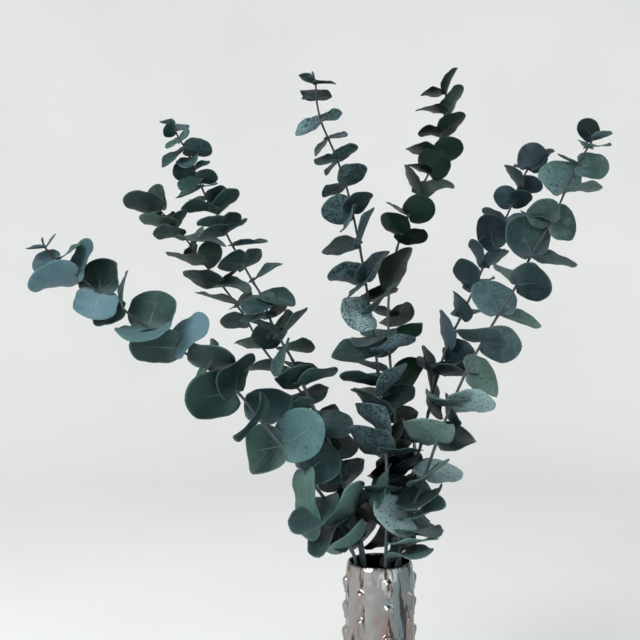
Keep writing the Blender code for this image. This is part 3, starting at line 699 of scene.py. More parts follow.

# The finish of each branch's leaves: colours as they are seen, 0 to 255, then how mottled and how
# specked the blades are, and how rough. The deep and under colours are partly the leaves' own and
# partly painted shade on dark-toned leaves and undersides. The rim is partly a pale outline of
# their own and partly a painted edge highlight.
FINISHES = {
    "branch_left_low": Finish(
        (82, 112, 122), (62, 98, 88), (24, 42, 43), (26, 46, 47), (100, 130, 140), (38, 60, 62),
        (118, 144, 144), (92, 120, 120), 0.35, 0.35, 0.5,
    ),
    "branch_left_thin": Finish(
        (82, 104, 104), (58, 80, 74), (26, 41, 41), (24, 38, 38), (94, 116, 118), (36, 52, 53),
        (96, 112, 110), (84, 100, 96), 0.45, 0.5, 0.55,
    ),
    "branch_left_tall": Finish(
        (84, 110, 114), (54, 82, 76), (24, 43, 45), (22, 40, 42), (96, 124, 132), (32, 52, 55),
        (96, 118, 116), (86, 108, 106), 0.5, 0.65, 0.55,
    ),
    "branch_middle": Finish(
        (92, 117, 126), (62, 90, 86), (19, 33, 35), (18, 30, 32), (124, 150, 162), (34, 52, 54),
        (90, 110, 112), (82, 102, 104), 0.5, 0.85, 0.5,
    ),
    "branch_dark": Finish(
        (28, 52, 44), (32, 60, 48), (7, 15, 14), (7, 15, 14), (36, 60, 52), (16, 30, 27),
        (44, 66, 56), (40, 62, 52), 0.25, 0.2, 0.42,
    ),
    "branch_right_inner": Finish(
        (66, 90, 102), (52, 78, 80), (15, 27, 34), (15, 25, 31), (80, 104, 116), (28, 42, 50),
        (74, 92, 100), (72, 92, 98), 0.35, 0.35, 0.5,
    ),
    "branch_right_outer": Finish(
        (88, 116, 121), (88, 118, 108), (24, 41, 45), (22, 38, 40), (112, 139, 142), (42, 57, 63),
        (96, 104, 118), (92, 120, 110), 0.45, 0.5, 0.5,
    ),
}

# What the leaves share: the colour of their painted shade and of their painted light, their sheen, and how
# fine their patterns are.
SHADE_COLOUR = (10, 14, 17)
PAINTED_LIGHT_COLOUR = (178, 208, 212)
LEAF_SHEEN = 0.12
PATCH_SCALES = (75.0, 260.0)
SPECK_SCALES = (300.0, 640.0)
SIDE_VEINS = 13.0
VEIN_SLANT = 0.75

# The stems' bark, grey-green below and purple-brown at the top.
STEM_LOW_COLOUR = (70, 84, 92)
STEM_TOP_COLOUR = (34, 31, 37)
STEM_PATCH_COLOUR = (50, 58, 60)
STEM_SPECK_COLOUR = (98, 106, 108)

# The vase's silver: darker and bluer to the right as painted shade, and dark brown on the last few
# millimetres under the rim. Its bright and dark streaks are painted highlights and reflections.
SILVER_SHADED_SIDE = (112, 125, 127)
SILVER_TURNS_SHADED = (-0.03, 0.03)
SILVER_PAINTED_HIGHLIGHT = (206, 202, 198)
SILVER_PAINTED_DARK_REFLECTION = (44, 44, 50)
SILVER_BROWN = (46, 35, 34)
SILVER_TURNS_BROWN = (0.1965, 0.1995)

# A leaf without a tone draws how light it is.
DRAWN_LIGHT = (0.1, 0.85)
TONE_SEED_SHIFT = 100

# The studio: each light's place, the point it faces, its size, its power and its colour.
Light = namedtuple("Light", "name place aim size power colour")
LIGHTS = (
    Light("window light", (-1.5, -1.6, 1.7), (0.0, 0.0, 0.4), 1.3, 52.0, (1.0, 0.985, 0.975)),
    Light("fill light", (1.7, -1.2, 0.9), (0.0, 0.0, 0.35), 1.5, 9.0, (0.95, 0.98, 1.0)),
    Light("top light", (0.0, 0.3, 2.4), (0.0, 0.0, 0.3), 2.0, 9.0, (1.0, 1.0, 1.0)),
)
SKY_COLOUR = (0.97, 0.99, 1.0, 1.0)
SKY_STRENGTH = 0.55
CAMERA_LENS = 56.25
CAMERA_SENSOR = 36.0
COVE_SIDES = 96
COVE_STEPS = 12


def linear(colour):
    """A colour seen as 0 to 255 as the shader's own linear colour."""
    shares = [value / 255 for value in colour]
    return tuple(s / 12.92 if s <= 0.04045 else ((s + 0.055) / 1.055) ** 2.4 for s in shares)


class Recipe:
    """Adds nodes to a tree and joins them. A plain value is set on the socket that it is for."""

    def __init__(self, tree):
        self.tree = tree

    def feed(self, socket, value):
        if isinstance(value, bpy.types.NodeSocket):
            self.tree.links.new(value, socket)
        else:
            socket.default_value = value

    def node(self, kind, inputs=None, **settings):
        made = self.tree.nodes.new(kind)
        for name, value in settings.items():
            setattr(made, name, value)
        for name, value in (inputs or {}).items():
            self.feed(made.inputs[name], value)
        return made

    def geometry(self, kind, inputs):
        """The geometry that a node gives."""
        return self.node("GeometryNode" + kind, inputs).outputs[0]

    def finished(self, geometry, material):
        """Geometry shaded smooth, made real and given its material."""
        smooth = self.geometry("SetShadeSmooth", {"Geometry": geometry})
        whole = self.geometry("RealizeInstances", {"Geometry": smooth})
        return self.geometry("SetMaterial", {"Geometry": whole, "Material": material})

    def mesh_of(self, helper_object):
        """The geometry of a helper object."""
        return self.node("GeometryNodeObjectInfo", {"Object": helper_object}).outputs["Geometry"]

    def calculated(self, made, values):
        """What a calculating node gives for these values, in the order of its sockets."""
        for socket, value in zip(made.inputs, values):
            self.feed(socket, value)
        return made.outputs

    def math(self, operation, *values):
        return self.calculated(self.node("ShaderNodeMath", operation=operation), values)[0]

    def product(self, *values):
        total = values[0]
        for value in values[1:]:
            total = self.math("MULTIPLY", total, value)
        return total

    def total(self, *values):
        added = values[0]
        for value in values[1:]:
            added = self.math("ADD", added, value)
        return added

    def uneven(self, value, strength):
        """A value from 0 to 1 as a small change up or down."""
        return self.product(self.math("SUBTRACT", value, 0.5), strength)

    def vector(self, operation, *values):
        outputs = self.calculated(self.node("ShaderNodeVectorMath", operation=operation), values)
        return outputs["Value" if operation == "LENGTH" else "Vector"]

    def scaled(self, vector, factor):
        inputs = {"Vector": vector, "Scale": factor}
        return self.node("ShaderNodeVectorMath", inputs, operation="SCALE").outputs["Vector"]

    def moved(self, place, direction, distance):
        """A place moved by a distance along a direction."""
        return self.vector("ADD", place, self.scaled(direction, distance))

    def parts(self, vector):
        return self.node("ShaderNodeSeparateXYZ", {"Vector": vector}).outputs

    def joined(self, x, y, z):
        return self.node("ShaderNodeCombineXYZ", {"X": x, "Y": y, "Z": z}).outputs[0]

    def named(self, name, kind="FLOAT"):
        """An attribute of the mesh, in a Geometry Nodes tree."""
        made = self.node("GeometryNodeInputNamedAttribute", {"Name": name}, data_type=kind)
        return made.outputs["Attribute"]

    def painted(self, name, kind="Fac"):
        """An attribute of the mesh, in a material."""
        return self.node("ShaderNodeAttribute", attribute_name=name).outputs[kind]

    def step(self, value, low, high):
        """0 below low, 1 above high and smooth between."""
        inputs = {"Value": value, "From Min": low, "From Max": high}
        return self.node("ShaderNodeMapRange", inputs, interpolation_type="SMOOTHSTEP").outputs["Result"]

    def between(self, value, least, most):
        """From least, where the value is 0, evenly to most, where it is 1."""
        inputs = {"Value": value, "To Min": least, "To Max": most}
        return self.node("ShaderNodeMapRange", inputs).outputs["Result"]

    def noise(self, vector, scale, detail=3.0, roughness=0.55, distortion=0.0):
        inputs = {
            "Vector": vector,
            "Scale": scale,
            "Detail": detail,
            "Roughness": roughness,
            "Distortion": distortion,
        }
        return self.node("ShaderNodeTexNoise", inputs).outputs["Fac"]

    def mixed(self, share, first, second):
        """One colour laid over another by a mask."""
        made = self.node("ShaderNodeMix", data_type="RGBA")
        factor, a, b = made.inputs[0], made.inputs[6], made.inputs[7]
        for socket, value in ((factor, share), (a, first), (b, second)):
            self.feed(socket, (*value, 1.0) if isinstance(value, tuple) else value)
        return made.outputs[2]

    def layered(self, colour, layers):
        """Colours laid over a first one in turn, each by its own mask."""
        for share, over in layers:
            colour = self.mixed(share, colour, over)
        return colour

    def placed(self, group, inputs):
        """A shared effect, placed with its own values."""
        return self.node("ShaderNodeGroup", inputs, node_tree=group).outputs

    def mask(self, group, place, scale, coverage):
        """The mask of a shared effect that is scattered over a place."""
        return self.placed(group, {"Vector": place, "Scale": scale, "Coverage": coverage})["Mask"]


def new_tree(name, kind, inputs, outputs):
    """An empty node tree with named sockets: the tree, its recipe, its inputs and its end."""
    tree = bpy.data.node_groups.new(name, kind)
    for sockets, in_out in ((inputs, "INPUT"), (outputs, "OUTPUT")):
        for socket, socket_type in sockets.items():
            tree.interface.new_socket(socket, in_out=in_out, socket_type="NodeSocket" + socket_type)
    start = tree.nodes.new("NodeGroupInput").outputs
    end = tree.nodes.new("NodeGroupOutput").inputs
    return tree, Recipe(tree), start, end


def leafy_branch_tree():
    """Geometry Nodes: bends a blade over every leaf point, and sweeps the stem along its line."""
    inputs = {
        "Leaf Points": "Geometry",
        "Blade": "Object",
        "Stem Line": "Object",
        "Blade Thickness": "Float",
        "Midrib Depth": "Float",
        "Stem Sides": "Int",
        "Leaf Finish": "Material",
        "Stem Finish": "Material",
    }
    tree, recipe, start, end = new_tree("Leafy branch", "GeometryNodeTree", inputs, {"Branch": "Geometry"})
    blade = recipe.mesh_of(start["Blade"])
    copies = recipe.geometry("InstanceOnPoints", {"Points": start["Leaf Points"], "Instance": blade})
    leaves = recipe.geometry("RealizeInstances", {"Geometry": copies})

    across_share, along_share, face = recipe.parts(recipe.named("blade", "FLOAT_VECTOR"))[:3]
    edge, relief = recipe.named("edge"), recipe.named("relief")
    length, width = recipe.named("length"), recipe.named("width")
    cup, phase = recipe.named("cup"), recipe.named("phase")
    angle = recipe.product(across_share, cup, 2.0)
    sine, cosine = recipe.math("SINE", angle), recipe.math("COSINE", angle)
    roll_radius = recipe.math("DIVIDE", width, recipe.product(cup, 2.0))
    curl = recipe.product(recipe.math("SUBTRACT", 1.0, cosine), roll_radius)
    still_to_go = recipe.math("SUBTRACT", 1.0, along_share)
    arch = recipe.product(recipe.named("bow"), length, 4.0, along_share, still_to_go)
    swell = recipe.math("SINE", recipe.total(recipe.product(along_share, math.tau), phase))
    ripple = recipe.product(recipe.named("wave"), width, across_share, edge, swell)
    frill = recipe.math("SINE", recipe.total(recipe.product(along_share, FRILLS * math.tau), phase))
    frill = recipe.product(width, FRILL_DEPTH, edge, edge, frill)
    skin = recipe.product(face, start["Blade Thickness"], 0.5)
    skin = recipe.math("SUBTRACT", skin, recipe.product(relief, start["Midrib Depth"]))
    along, across, upper = (recipe.named(name, "FLOAT_VECTOR") for name in ("along", "across", "upper"))
    moves = (
        (along, recipe.product(length, along_share)),
        (across, recipe.product(sine, roll_radius)),
        (upper, recipe.total(curl, arch, ripple, frill)),
        (upper, recipe.product(skin, cosine)),
        (across, recipe.product(skin, sine, -1.0)),
    )
    place = recipe.named("root", "FLOAT_VECTOR")
    for direction, distance in moves:
        place = recipe.moved(place, direction, distance)
    bent = recipe.geometry("SetPosition", {"Geometry": leaves, "Position": place})

    path = recipe.geometry("MeshToCurve", {"Mesh": recipe.mesh_of(start["Stem Line"])})
    ring = recipe.geometry("CurvePrimitiveCircle", {"Resolution": start["Stem Sides"], "Radius": 1.0})
    sweep = {"Curve": path, "Profile Curve": ring, "Scale": recipe.named("girth"), "Fill Caps": True}
    swept = recipe.geometry("CurveToMesh", sweep)

    both = recipe.node("GeometryNodeJoinGeometry")
    recipe.feed(both.inputs["Geometry"], recipe.finished(swept, start["Stem Finish"]))
    recipe.feed(both.inputs["Geometry"], recipe.finished(bent, start["Leaf Finish"]))
    recipe.feed(end["Branch"], both.outputs["Geometry"])
    return tree


def studded_wall_tree():
    """Geometry Nodes: raises a stud from the vase's wall at every stud point."""
    inputs = {
        "Wall": "Geometry",
        "Stud Points": "Object",
        "Stud Width": "Float",
        "Stud Length": "Float",
        "Stud Height": "Float",
        "Finish": "Material",
    }
    tree, recipe, start, end = new_tree("Studded wall", "GeometryNodeTree", inputs, {"Vase": "Geometry"})
    studs = recipe.mesh_of(start["Stud Points"])
    position = recipe.node("GeometryNodeInputPosition").outputs[0]
    search = {"Geometry": studs, "Sample Position": position}
    nearest = recipe.node("GeometryNodeSampleNearest", search, domain="POINT").outputs["Index"]

    def of_stud(value, kind):
        sample = {"Geometry": studs, "Value": value, "Index": nearest}
        found = recipe.node("GeometryNodeSampleIndex", sample, data_type=kind, domain="POINT")
        return found.outputs["Value"]

    middle = of_stud(position, "FLOAT_VECTOR")
    size = of_stud(recipe.named("size"), "FLOAT")
    away = recipe.parts(recipe.vector("SUBTRACT", position, middle))
    x, y = recipe.parts(position)[:2]
    level = recipe.vector("LENGTH", recipe.joined(away["X"], away["Y"], 0.0))
    beside = recipe.math("DIVIDE", level, recipe.product(start["Stud Width"], 0.5))
    above = recipe.math("DIVIDE", away["Z"], recipe.product(start["Stud Length"], 0.5))
    drop = recipe.total(above, recipe.product(above, above, STUD_DROOP))
    spread = recipe.math("SQRT", recipe.total(recipe.product(beside, beside), recipe.product(drop, drop)))
    spread = recipe.math("DIVIDE", spread, size)
    inside = recipe.math("MAXIMUM", recipe.math("SUBTRACT", 1.0, recipe.product(spread, spread)), 0.0)
    dome = recipe.math("POWER", inside, STUD_ROUNDNESS)
    lift = recipe.product(dome, start["Stud Height"], size, recipe.named("outer"))
    outward = recipe.vector("NORMALIZE", recipe.joined(x, y, 0.0))
    offset = recipe.scaled(outward, lift)
    raised = recipe.geometry("SetPosition", {"Geometry": start["Wall"], "Offset": offset})
    recipe.feed(end["Vase"], recipe.finished(raised, start["Finish"]))
    return tree


def leaf_veins():
    """Shared effect: the midrib and the slanting side veins, from a blade's own places."""
    inputs = {"Blade": "Vector", "Side Veins": "Float", "Slant": "Float"}
    outputs = {"Midrib": "Float", "Veins": "Float"}
    tree, recipe, start, end = new_tree("Leaf veins", "ShaderNodeTree", inputs, outputs)
    across, along = recipe.parts(start["Blade"])[:2]
    off_middle = recipe.math("ABSOLUTE", across)
    rib_width = recipe.between(along, 0.016, 0.003)
    midrib = recipe.step(recipe.math("DIVIDE", off_middle, rib_width), 1.4, 0.3)
    curved = recipe.product(recipe.math("POWER", off_middle, 0.85), start["Slant"])
    climb = recipe.math("SUBTRACT", along, curved)
    low_down = recipe.step(along, 0.85, 0.15)
    climb = recipe.total(climb, recipe.uneven(recipe.noise(start["Blade"], 9.0, 1.0), 0.05))
    saw = recipe.math("PINGPONG", recipe.product(climb, start["Side Veins"]), 1.0)
    veins = recipe.step(saw, 0.16, 0.0)
    fade = recipe.step(off_middle, 0.5, 0.2)
    recipe.feed(end["Midrib"], recipe.product(midrib, low_down))
    recipe.feed(end["Veins"], recipe.product(veins, fade, low_down))
    return tree


def scattered_effect(name):
    """An empty shared effect that scatters a mask over a place."""
    inputs = {"Vector": "Vector", "Scale": "Float", "Coverage": "Float"}
    return new_tree(name, "ShaderNodeTree", inputs, {"Mask": "Float"})


def blotches():
    """Shared effect: soft uneven patches."""
    tree, recipe, start, end = scattered_effect("Blotches")
    cloud = recipe.noise(start["Vector"], start["Scale"], 4.0, 0.62, 0.4)
    low = recipe.math("SUBTRACT", 0.68, recipe.product(start["Coverage"], 0.36))
    recipe.feed(end["Mask"], recipe.step(cloud, low, recipe.total(low, 0.16)))
    return tree


def fine_specks():
    """Shared effect: small scattered specks, thicker in some places than in others."""
    tree, recipe, start, end = scattered_effect("Fine specks")
    grain = recipe.noise(start["Vector"], start["Scale"], 2.0, 0.7)
    crowd = recipe.noise(start["Vector"], recipe.product(start["Scale"], 0.09), 2.0)
    low = recipe.math("SUBTRACT", 0.72, recipe.product(start["Coverage"], crowd, 0.5))
    recipe.feed(end["Mask"], recipe.step(grain, low, recipe.total(low, 0.07)))
    return tree


def shared_effects():
    """The shader effects that more than one finish uses, built once."""
    makers = {"Leaf veins": leaf_veins, "Blotches": blotches, "Fine specks": fine_specks}
    return {name: bpy.data.node_groups.get(name) or make() for name, make in makers.items()}


def new_material(name, metallic=0.0):
    made = bpy.data.materials.new(name)
    made.use_nodes = True
    shader = made.node_tree.nodes["Principled BSDF"]
    shader.inputs["Metallic"].default_value = metallic
    recipe = Recipe(made.node_tree)
    place = recipe.node("ShaderNodeTexCoord").outputs["Object"]
    return made, recipe, shader, place


def bump(recipe, shader, height, distance, strength):
    made = recipe.node("ShaderNodeBump", {"Height": height, "Distance": distance, "Strength": strength})
    recipe.feed(shader.inputs["Normal"], made.outputs["Normal"])


def leaf_finish(name, finish, effects):
    """Preserved eucalyptus leaf: bloom and dark specks over green, a star of pale veins, and painted light
    and shade.
    """
    made, recipe, shader, place = new_material(name + "_leaf")
    blade = recipe.painted("blade", "Vector")
    along, face = recipe.parts(blade)[1:3]
    light, green, gloom, edge = (recipe.painted(mark) for mark in ("light", "green", "gloom", "edge"))
    pattern = {"Blade": blade, "Side Veins": SIDE_VEINS, "Slant": VEIN_SLANT}
    midrib, veins = recipe.placed(effects["Leaf veins"], pattern)[:2]
    patches, small_patches = (
        recipe.mask(effects["Blotches"], place, scale, finish.mottled) for scale in PATCH_SCALES
    )
    specks, fine_grain = (
        recipe.mask(effects["Fine specks"], place, scale, finish.specked) for scale in SPECK_SCALES
    )
    cloud = recipe.noise(place, 40.0, 3.0)
    # Painted light and shade: the tone's lightness, partly the leaf's own tint, moves it from the deep
    # colour to the lit one.
    shade = recipe.step(recipe.total(light, recipe.uneven(cloud, 0.6)), -0.05, 1.0)
    lit = recipe.mixed(green, linear(finish.pale), linear(finish.moss))
    # Painted light: a tone lighter than 1 mixes in the painted light colour.
    lit = recipe.mixed(recipe.step(light, 1.0, 2.0), lit, linear(PAINTED_LIGHT_COLOUR))
    bloom = recipe.total(recipe.product(patches, 0.5), recipe.product(small_patches, 0.35))
    bloom = recipe.product(bloom, recipe.between(light, 0.15, 1.0))
    dots = recipe.total(recipe.product(specks, 0.9), recipe.product(fine_grain, 0.75))
    below = recipe.step(face, 0.2, -0.2)
    layers = (
        (shade, lit),
        (recipe.math("MINIMUM", bloom, 1.0), linear(finish.bloom)),
        (recipe.math("MINIMUM", dots, 0.95), linear(finish.speck)),
        (recipe.product(veins, 0.22), linear(finish.vein)),
        # The underside colour, partly the leaf's own and partly painted shade, most on dark-toned leaves.
        (recipe.product(below, recipe.between(light, 0.65, 0.1)), linear(finish.under)),
        (recipe.product(midrib, 0.5), linear(finish.vein)),
        (recipe.product(recipe.step(along, 0.3, 0.0), 0.25), linear(finish.vein)),
        # A pale rim: partly the leaf's own outline and partly a painted edge highlight.
        (recipe.product(recipe.step(edge, 0.9, 1.0), 0.4), linear(finish.rim)),
        # Painted shade where the leaf lies low among the others.
        (gloom, linear(SHADE_COLOUR)),
    )
    recipe.feed(shader.inputs["Base Color"], recipe.layered(linear(finish.deep), layers))
    rough = recipe.between(patches, finish.roughness - 0.05, finish.roughness + 0.16)
    recipe.feed(shader.inputs["Roughness"], rough)
    shader.inputs["Specular IOR Level"].default_value = LEAF_SHEEN
    pores = recipe.noise(place, 1600.0, 2.0)
    height = recipe.total(
        recipe.product(veins, 0.5), midrib, recipe.product(pores, 0.4), recipe.product(cloud, 0.4)
    )
    bump(recipe, shader, height, 0.0005, 0.5)
    return made


def stem_finish(effects):
    """Young eucalyptus stem: grey-green and bloomed below, purple-brown towards the tip."""
    made, recipe, shader, place = new_material("eucalyptus_stem")
    streaks = recipe.noise(recipe.vector("MULTIPLY", place, (1.0, 1.0, 0.15)), 700.0, 3.0)
    climb = recipe.total(recipe.painted("rise"), recipe.uneven(streaks, 0.5))
    patches = recipe.mask(effects["Blotches"], place, 160.0, 0.55)
    specks = recipe.mask(effects["Fine specks"], place, 1100.0, 0.5)
    layers = (
        (recipe.step(climb, 0.35, 0.8), linear(STEM_TOP_COLOUR)),
        (recipe.product(patches, 0.5), linear(STEM_PATCH_COLOUR)),
        (recipe.product(specks, 0.5), linear(STEM_SPECK_COLOUR)),
    )
    recipe.feed(shader.inputs["Base Color"], recipe.layered(linear(STEM_LOW_COLOUR), layers))
    recipe.feed(shader.inputs["Roughness"], recipe.between(streaks, 0.45, 0.75))
    bump(recipe, shader, streaks, 0.0004, 0.5)
    return made


def silver_finish(effects, silver, copper):
    """Silver lustre over ceramic: mirror-like, coppery streaks, painted highlights, reflections and shade.
    """
    made, recipe, shader, place = new_material("silver_lustre", metallic=1.0)
    drawn_out = recipe.vector("MULTIPLY", place, (1.0, 1.0, 0.18))

    def streaks(scale, coverage):
        return recipe.step(recipe.mask(effects["Blotches"], drawn_out, scale, coverage), 0.25, 0.75)

    x, _, height = recipe.parts(place)[:3]
    layers = (
        # Painted shade: the right side is darker and bluer.
        (recipe.step(x, *SILVER_TURNS_SHADED), linear(SILVER_SHADED_SIDE)),
        # Bright streaks: painted highlights. The coppery streaks after them are the lustre's own.
        (recipe.product(streaks(44.0, 0.4), 0.7), linear(SILVER_PAINTED_HIGHLIGHT)),
        (recipe.product(streaks(60.0, 0.5), 0.7), tuple(copper)),
        # Dark streaks: painted reflections.
        (recipe.product(streaks(78.0, 0.5), 0.85), linear(SILVER_PAINTED_DARK_REFLECTION)),
        (recipe.product(recipe.step(height, *SILVER_TURNS_BROWN), 0.85), linear(SILVER_BROWN)),
    )
    recipe.feed(shader.inputs["Base Color"], recipe.layered(tuple(silver), layers))
    smudges = recipe.mask(effects["Blotches"], place, 120.0, 0.4)
    recipe.feed(shader.inputs["Roughness"], recipe.between(smudges, 0.08, 0.2))
    waves = recipe.noise(recipe.vector("MULTIPLY", place, (1.0, 1.0, 0.5)), 70.0, 2.0)
    bump(recipe, shader, waves, 0.005, 0.7)
    return made


def backdrop_finish(colour):
    """Pale matt studio paper, very slightly uneven."""
    made, recipe, shader, place = new_material("pale_studio_paper")
    cloud = recipe.noise(place, 1.6, 2.0)
    fibre = recipe.noise(place, 320.0, 2.0)
    paper = tuple(colour)
    shaded = tuple(0.96 * value for value in paper)
    recipe.feed(shader.inputs["Base Color"], recipe.mixed(recipe.step(cloud, 0.3, 0.7), shaded, paper))
    recipe.feed(shader.inputs["Roughness"], recipe.between(fibre, 0.75, 0.95))
    bump(recipe, shader, fibre, 0.0002, 0.2)
    return made


def new_mesh(name, vertices, edges=(), faces=()):
    mesh = bpy.data.meshes.new(name)
    mesh.from_pydata(vertices, edges, faces)
    return mesh


def note(mesh, name, values):
    """Stores one value or vector for each point of a mesh."""
    is_vector = isinstance(values[0], (tuple, list, Vector))
    layer = mesh.attributes.new(name, "FLOAT_VECTOR" if is_vector else "FLOAT", "POINT")
    if is_vector:
        layer.data.foreach_set("vector", [number for value in values for number in value])
    else:
        layer.data.foreach_set("value", values)


def in_scene(name, data):
    """A new object in the scene. One that only a tree reads is removed once the tree has run."""
    made = bpy.data.objects.new(name, data)
    bpy.context.scene.collection.objects.link(made)
    return made


def grown(name, mesh, tree, values, helpers):
    """A finished object: the mesh put through a tree, kept as a plain mesh."""
    made = in_scene(name, mesh)
    modifier = made.modifiers.new(tree.name, "NODES")
    modifier.node_group = tree
    for item in tree.interface.items_tree:
        if item.item_type == "SOCKET" and item.in_out == "INPUT" and item.name in values:
            modifier[item.identifier] = values[item.name]
    graph = bpy.context.evaluated_depsgraph_get()
    result = bpy.data.meshes.new_from_object(made.evaluated_get(graph))
    made.modifiers.clear()
    made.data = result
    for used in helpers:
        bpy.data.objects.remove(used)
    return made


def blade_reach(turn, heart):
    """How far the blade's outline is from its centre, at an angle from the tip."""
    from_base = abs(math.pi - turn)
    low = math.cos(turn) < 0
    long_side = BLADE_CENTRE + heart * LOBE_REACH if low else 1.0 - BLADE_CENTRE
    reach = 1.0 / math.hypot(math.sin(turn) / 0.5, math.cos(turn) / long_side)
    notch = 1.0 - (BLADE_CENTRE - NOTCH_PLACE) / (BLADE_CENTRE + heart * LOBE_REACH)
    reach *= 1.0 - notch * math.exp(-((from_base / NOTCH_HALF_ANGLE) ** 2))
    from_tip = min(turn, math.tau - turn)
    return reach * (1.0 + APEX * math.exp(-((from_tip / APEX_HALF_ANGLE) ** 2)))


def disc_faces(index):
    """The faces of a blade's two sides, from its middle to its edge, and of the thin wall round it."""
    last_ring = len(BLADE_RINGS) - 1
    spokes = [(spoke, (spoke + 1) % BLADE_SPOKES) for spoke in range(BLADE_SPOKES)]
    faces = []
    for face in (1, -1):
        for ring in range(last_ring):
            for here, beside in spokes:
                corners = [index[face, ring, here], index[face, ring + 1, here]]
                corners += [index[face, ring + 1, beside], index[face, ring, beside]]
                corners = list(dict.fromkeys(corners))
                faces.append(corners[::-1] if face > 0 else corners)
    for here, beside in spokes:
        wall = ((1, here), (1, beside), (-1, beside), (-1, here))
        faces.append([index[face, last_ring, spoke] for face, spoke in wall])
    return faces


def unit_blade(heart):
    """One closed blade of length and width 1: a heart-shaped disc with two faces and a thin wall."""
    vertices, places, edges, reliefs = [], [], [], []
    index = {}
    for face in (1, -1):
        for ring, share in enumerate(BLADE_RINGS):
            for spoke in range(BLADE_SPOKES):
                if ring == 0 and spoke > 0:
                    index[face, ring, spoke] = index[face, 0, 0]
                    continue
                turn = math.tau * spoke / BLADE_SPOKES
                reach = share * blade_reach(turn, heart)
                x, y = reach * math.sin(turn), BLADE_CENTRE + reach * math.cos(turn)
                on_edge = share == BLADE_RINGS[-1]
                on_midrib = spoke in (0, BLADE_SPOKES // 2) or ring == 0
                index[face, ring, spoke] = len(vertices)
                vertices.append((x, y, 0.0))
                places.append((x, y, face * (RIM_THINNESS if on_edge else 1.0)))
                edges.append(share)
                reliefs.append(1.0 if on_midrib and not on_edge else 0.0)
    faces = disc_faces(index)
    add_petiole(vertices, places, edges, reliefs, faces)
    # A leaf's across, along and upper directions are left-handed, so each face is turned round.
    mesh = new_mesh("unit blade", vertices, (), [face[::-1] for face in faces])
    note(mesh, "blade", places)
    note(mesh, "edge", edges)
    note(mesh, "relief", reliefs)
    return mesh


def add_petiole(vertices, places, edges, reliefs, faces):
    """The short stalk that joins a blade to its stem, as a closed bar with four sides."""
    first = len(vertices)
    sides = len(PETIOLE_CORNERS)
    for y, width in PETIOLE_ROWS:
        for x_side, face in PETIOLE_CORNERS:
            x = x_side * width * PETIOLE_HALF_SHARE
            vertices.append((x, y, 0.0))
            places.append((x, y, face * (1.0 if y < PETIOLE_THIN_FROM else PETIOLE_THIN_SHARE)))
            edges.append(0.0)
            reliefs.append(0.0)
    for ring in range(len(PETIOLE_ROWS) - 1):
        for side in range(sides):
            here, beside, above, above_beside = ring_corners(ring, side, sides, first)
            faces.append((here, above, above_beside, beside))
    faces.append(tuple(range(first, first + sides)))
    faces.append(tuple(range(len(vertices) - 1, len(vertices) - 1 - sides, -1)))


def shade_at(leaf):
    """How much painted shade a leaf takes, by how deep it lies among the others, low between the stems."""
    off = leaf.root + 0.5 * leaf.length * leaf.along - SHADE_MIDDLE
    reach = Vector([distance / most for distance, most in zip(off, SHADE_REACH)])
    return DEEPEST_SHADE * math.exp(-reach.length_squared)


def leaf_points(branch, leaves):
    """One point for each leaf of a branch, with what the tree needs to bend its blade."""
    mesh = new_mesh(branch.name + " leaf points", [leaf.root for leaf in leaves])
    for field in SHAPE_FIELDS:
        note(mesh, field, [getattr(leaf, field) for leaf in leaves])
    draw = random.Random(branch.seed + TONE_SEED_SHIFT)
    # A leaf without a tone draws its lightness and greenness, and takes painted shade by where it lies.
    drawn = [Tone(draw.uniform(*DRAWN_LIGHT), draw.random(), shade_at(leaf)) for leaf in leaves]
    tones = [leaf.tone or own for leaf, own in zip(leaves, drawn)]
    for field in Tone._fields:
        note(mesh, field, [getattr(tone, field) for tone in tones])
    return mesh


def stem_line(spine):
    """The line of a stem, with its girth swelling at each joint and a bud at its tip."""
    points, shares = spine
    vertices, girths = [points[0]], [STEM_LOW_RADIUS]
    for place in range(1, len(points) - 1):
        enter = 0.5 * (points[place - 1] + points[place])
        leave = 0.5 * (points[place] + points[place + 1])
        radius = STEM_LOW_RADIUS + (STEM_TIP_RADIUS - STEM_LOW_RADIUS) * shares[place]
        for step, girth in STEM_STEPS:
            first, second = enter.lerp(points[place], step), points[place].lerp(leave, step)
            vertices.append(first.lerp(second, step))
            girths.append(radius * (girth if place > 1 else 1.0))
    tip_direction = (points[-1] - points[-2]).normalized()
    vertices.append(0.5 * (points[-2] + points[-1]))
    girths.append(STEM_TIP_RADIUS)
    for distance, girth in BUD_STEPS:
        vertices.append(points[-1] + (distance - BUD_STEPS[-1][0]) * MM * tip_direction)
        girths.append(STEM_TIP_RADIUS * girth)
    mesh = new_mesh("stem line", vertices, [(here, here + 1) for here in range(len(vertices) - 1)])
    note(mesh, "girth", girths)
    note(mesh, "rise", [place / (len(vertices) - 1) for place in range(len(vertices))])
    return mesh


def profile_radius(profile, height):
    """The radius of a turned profile, given as (height, radius) in millimetres, at a height."""
    for (low, low_radius), (high, high_radius) in zip(profile, profile[1:]):
        if low <= height <= high:
            return low_radius + (high_radius - low_radius) * (height - low) / (high - low)
    return profile[-1][1]


def turned(reach, turn, height):
    """A point of the vase, by its distance from the axis, its turn from the front and its height."""
    return Vector((reach * math.sin(turn), -reach * math.cos(turn), height))


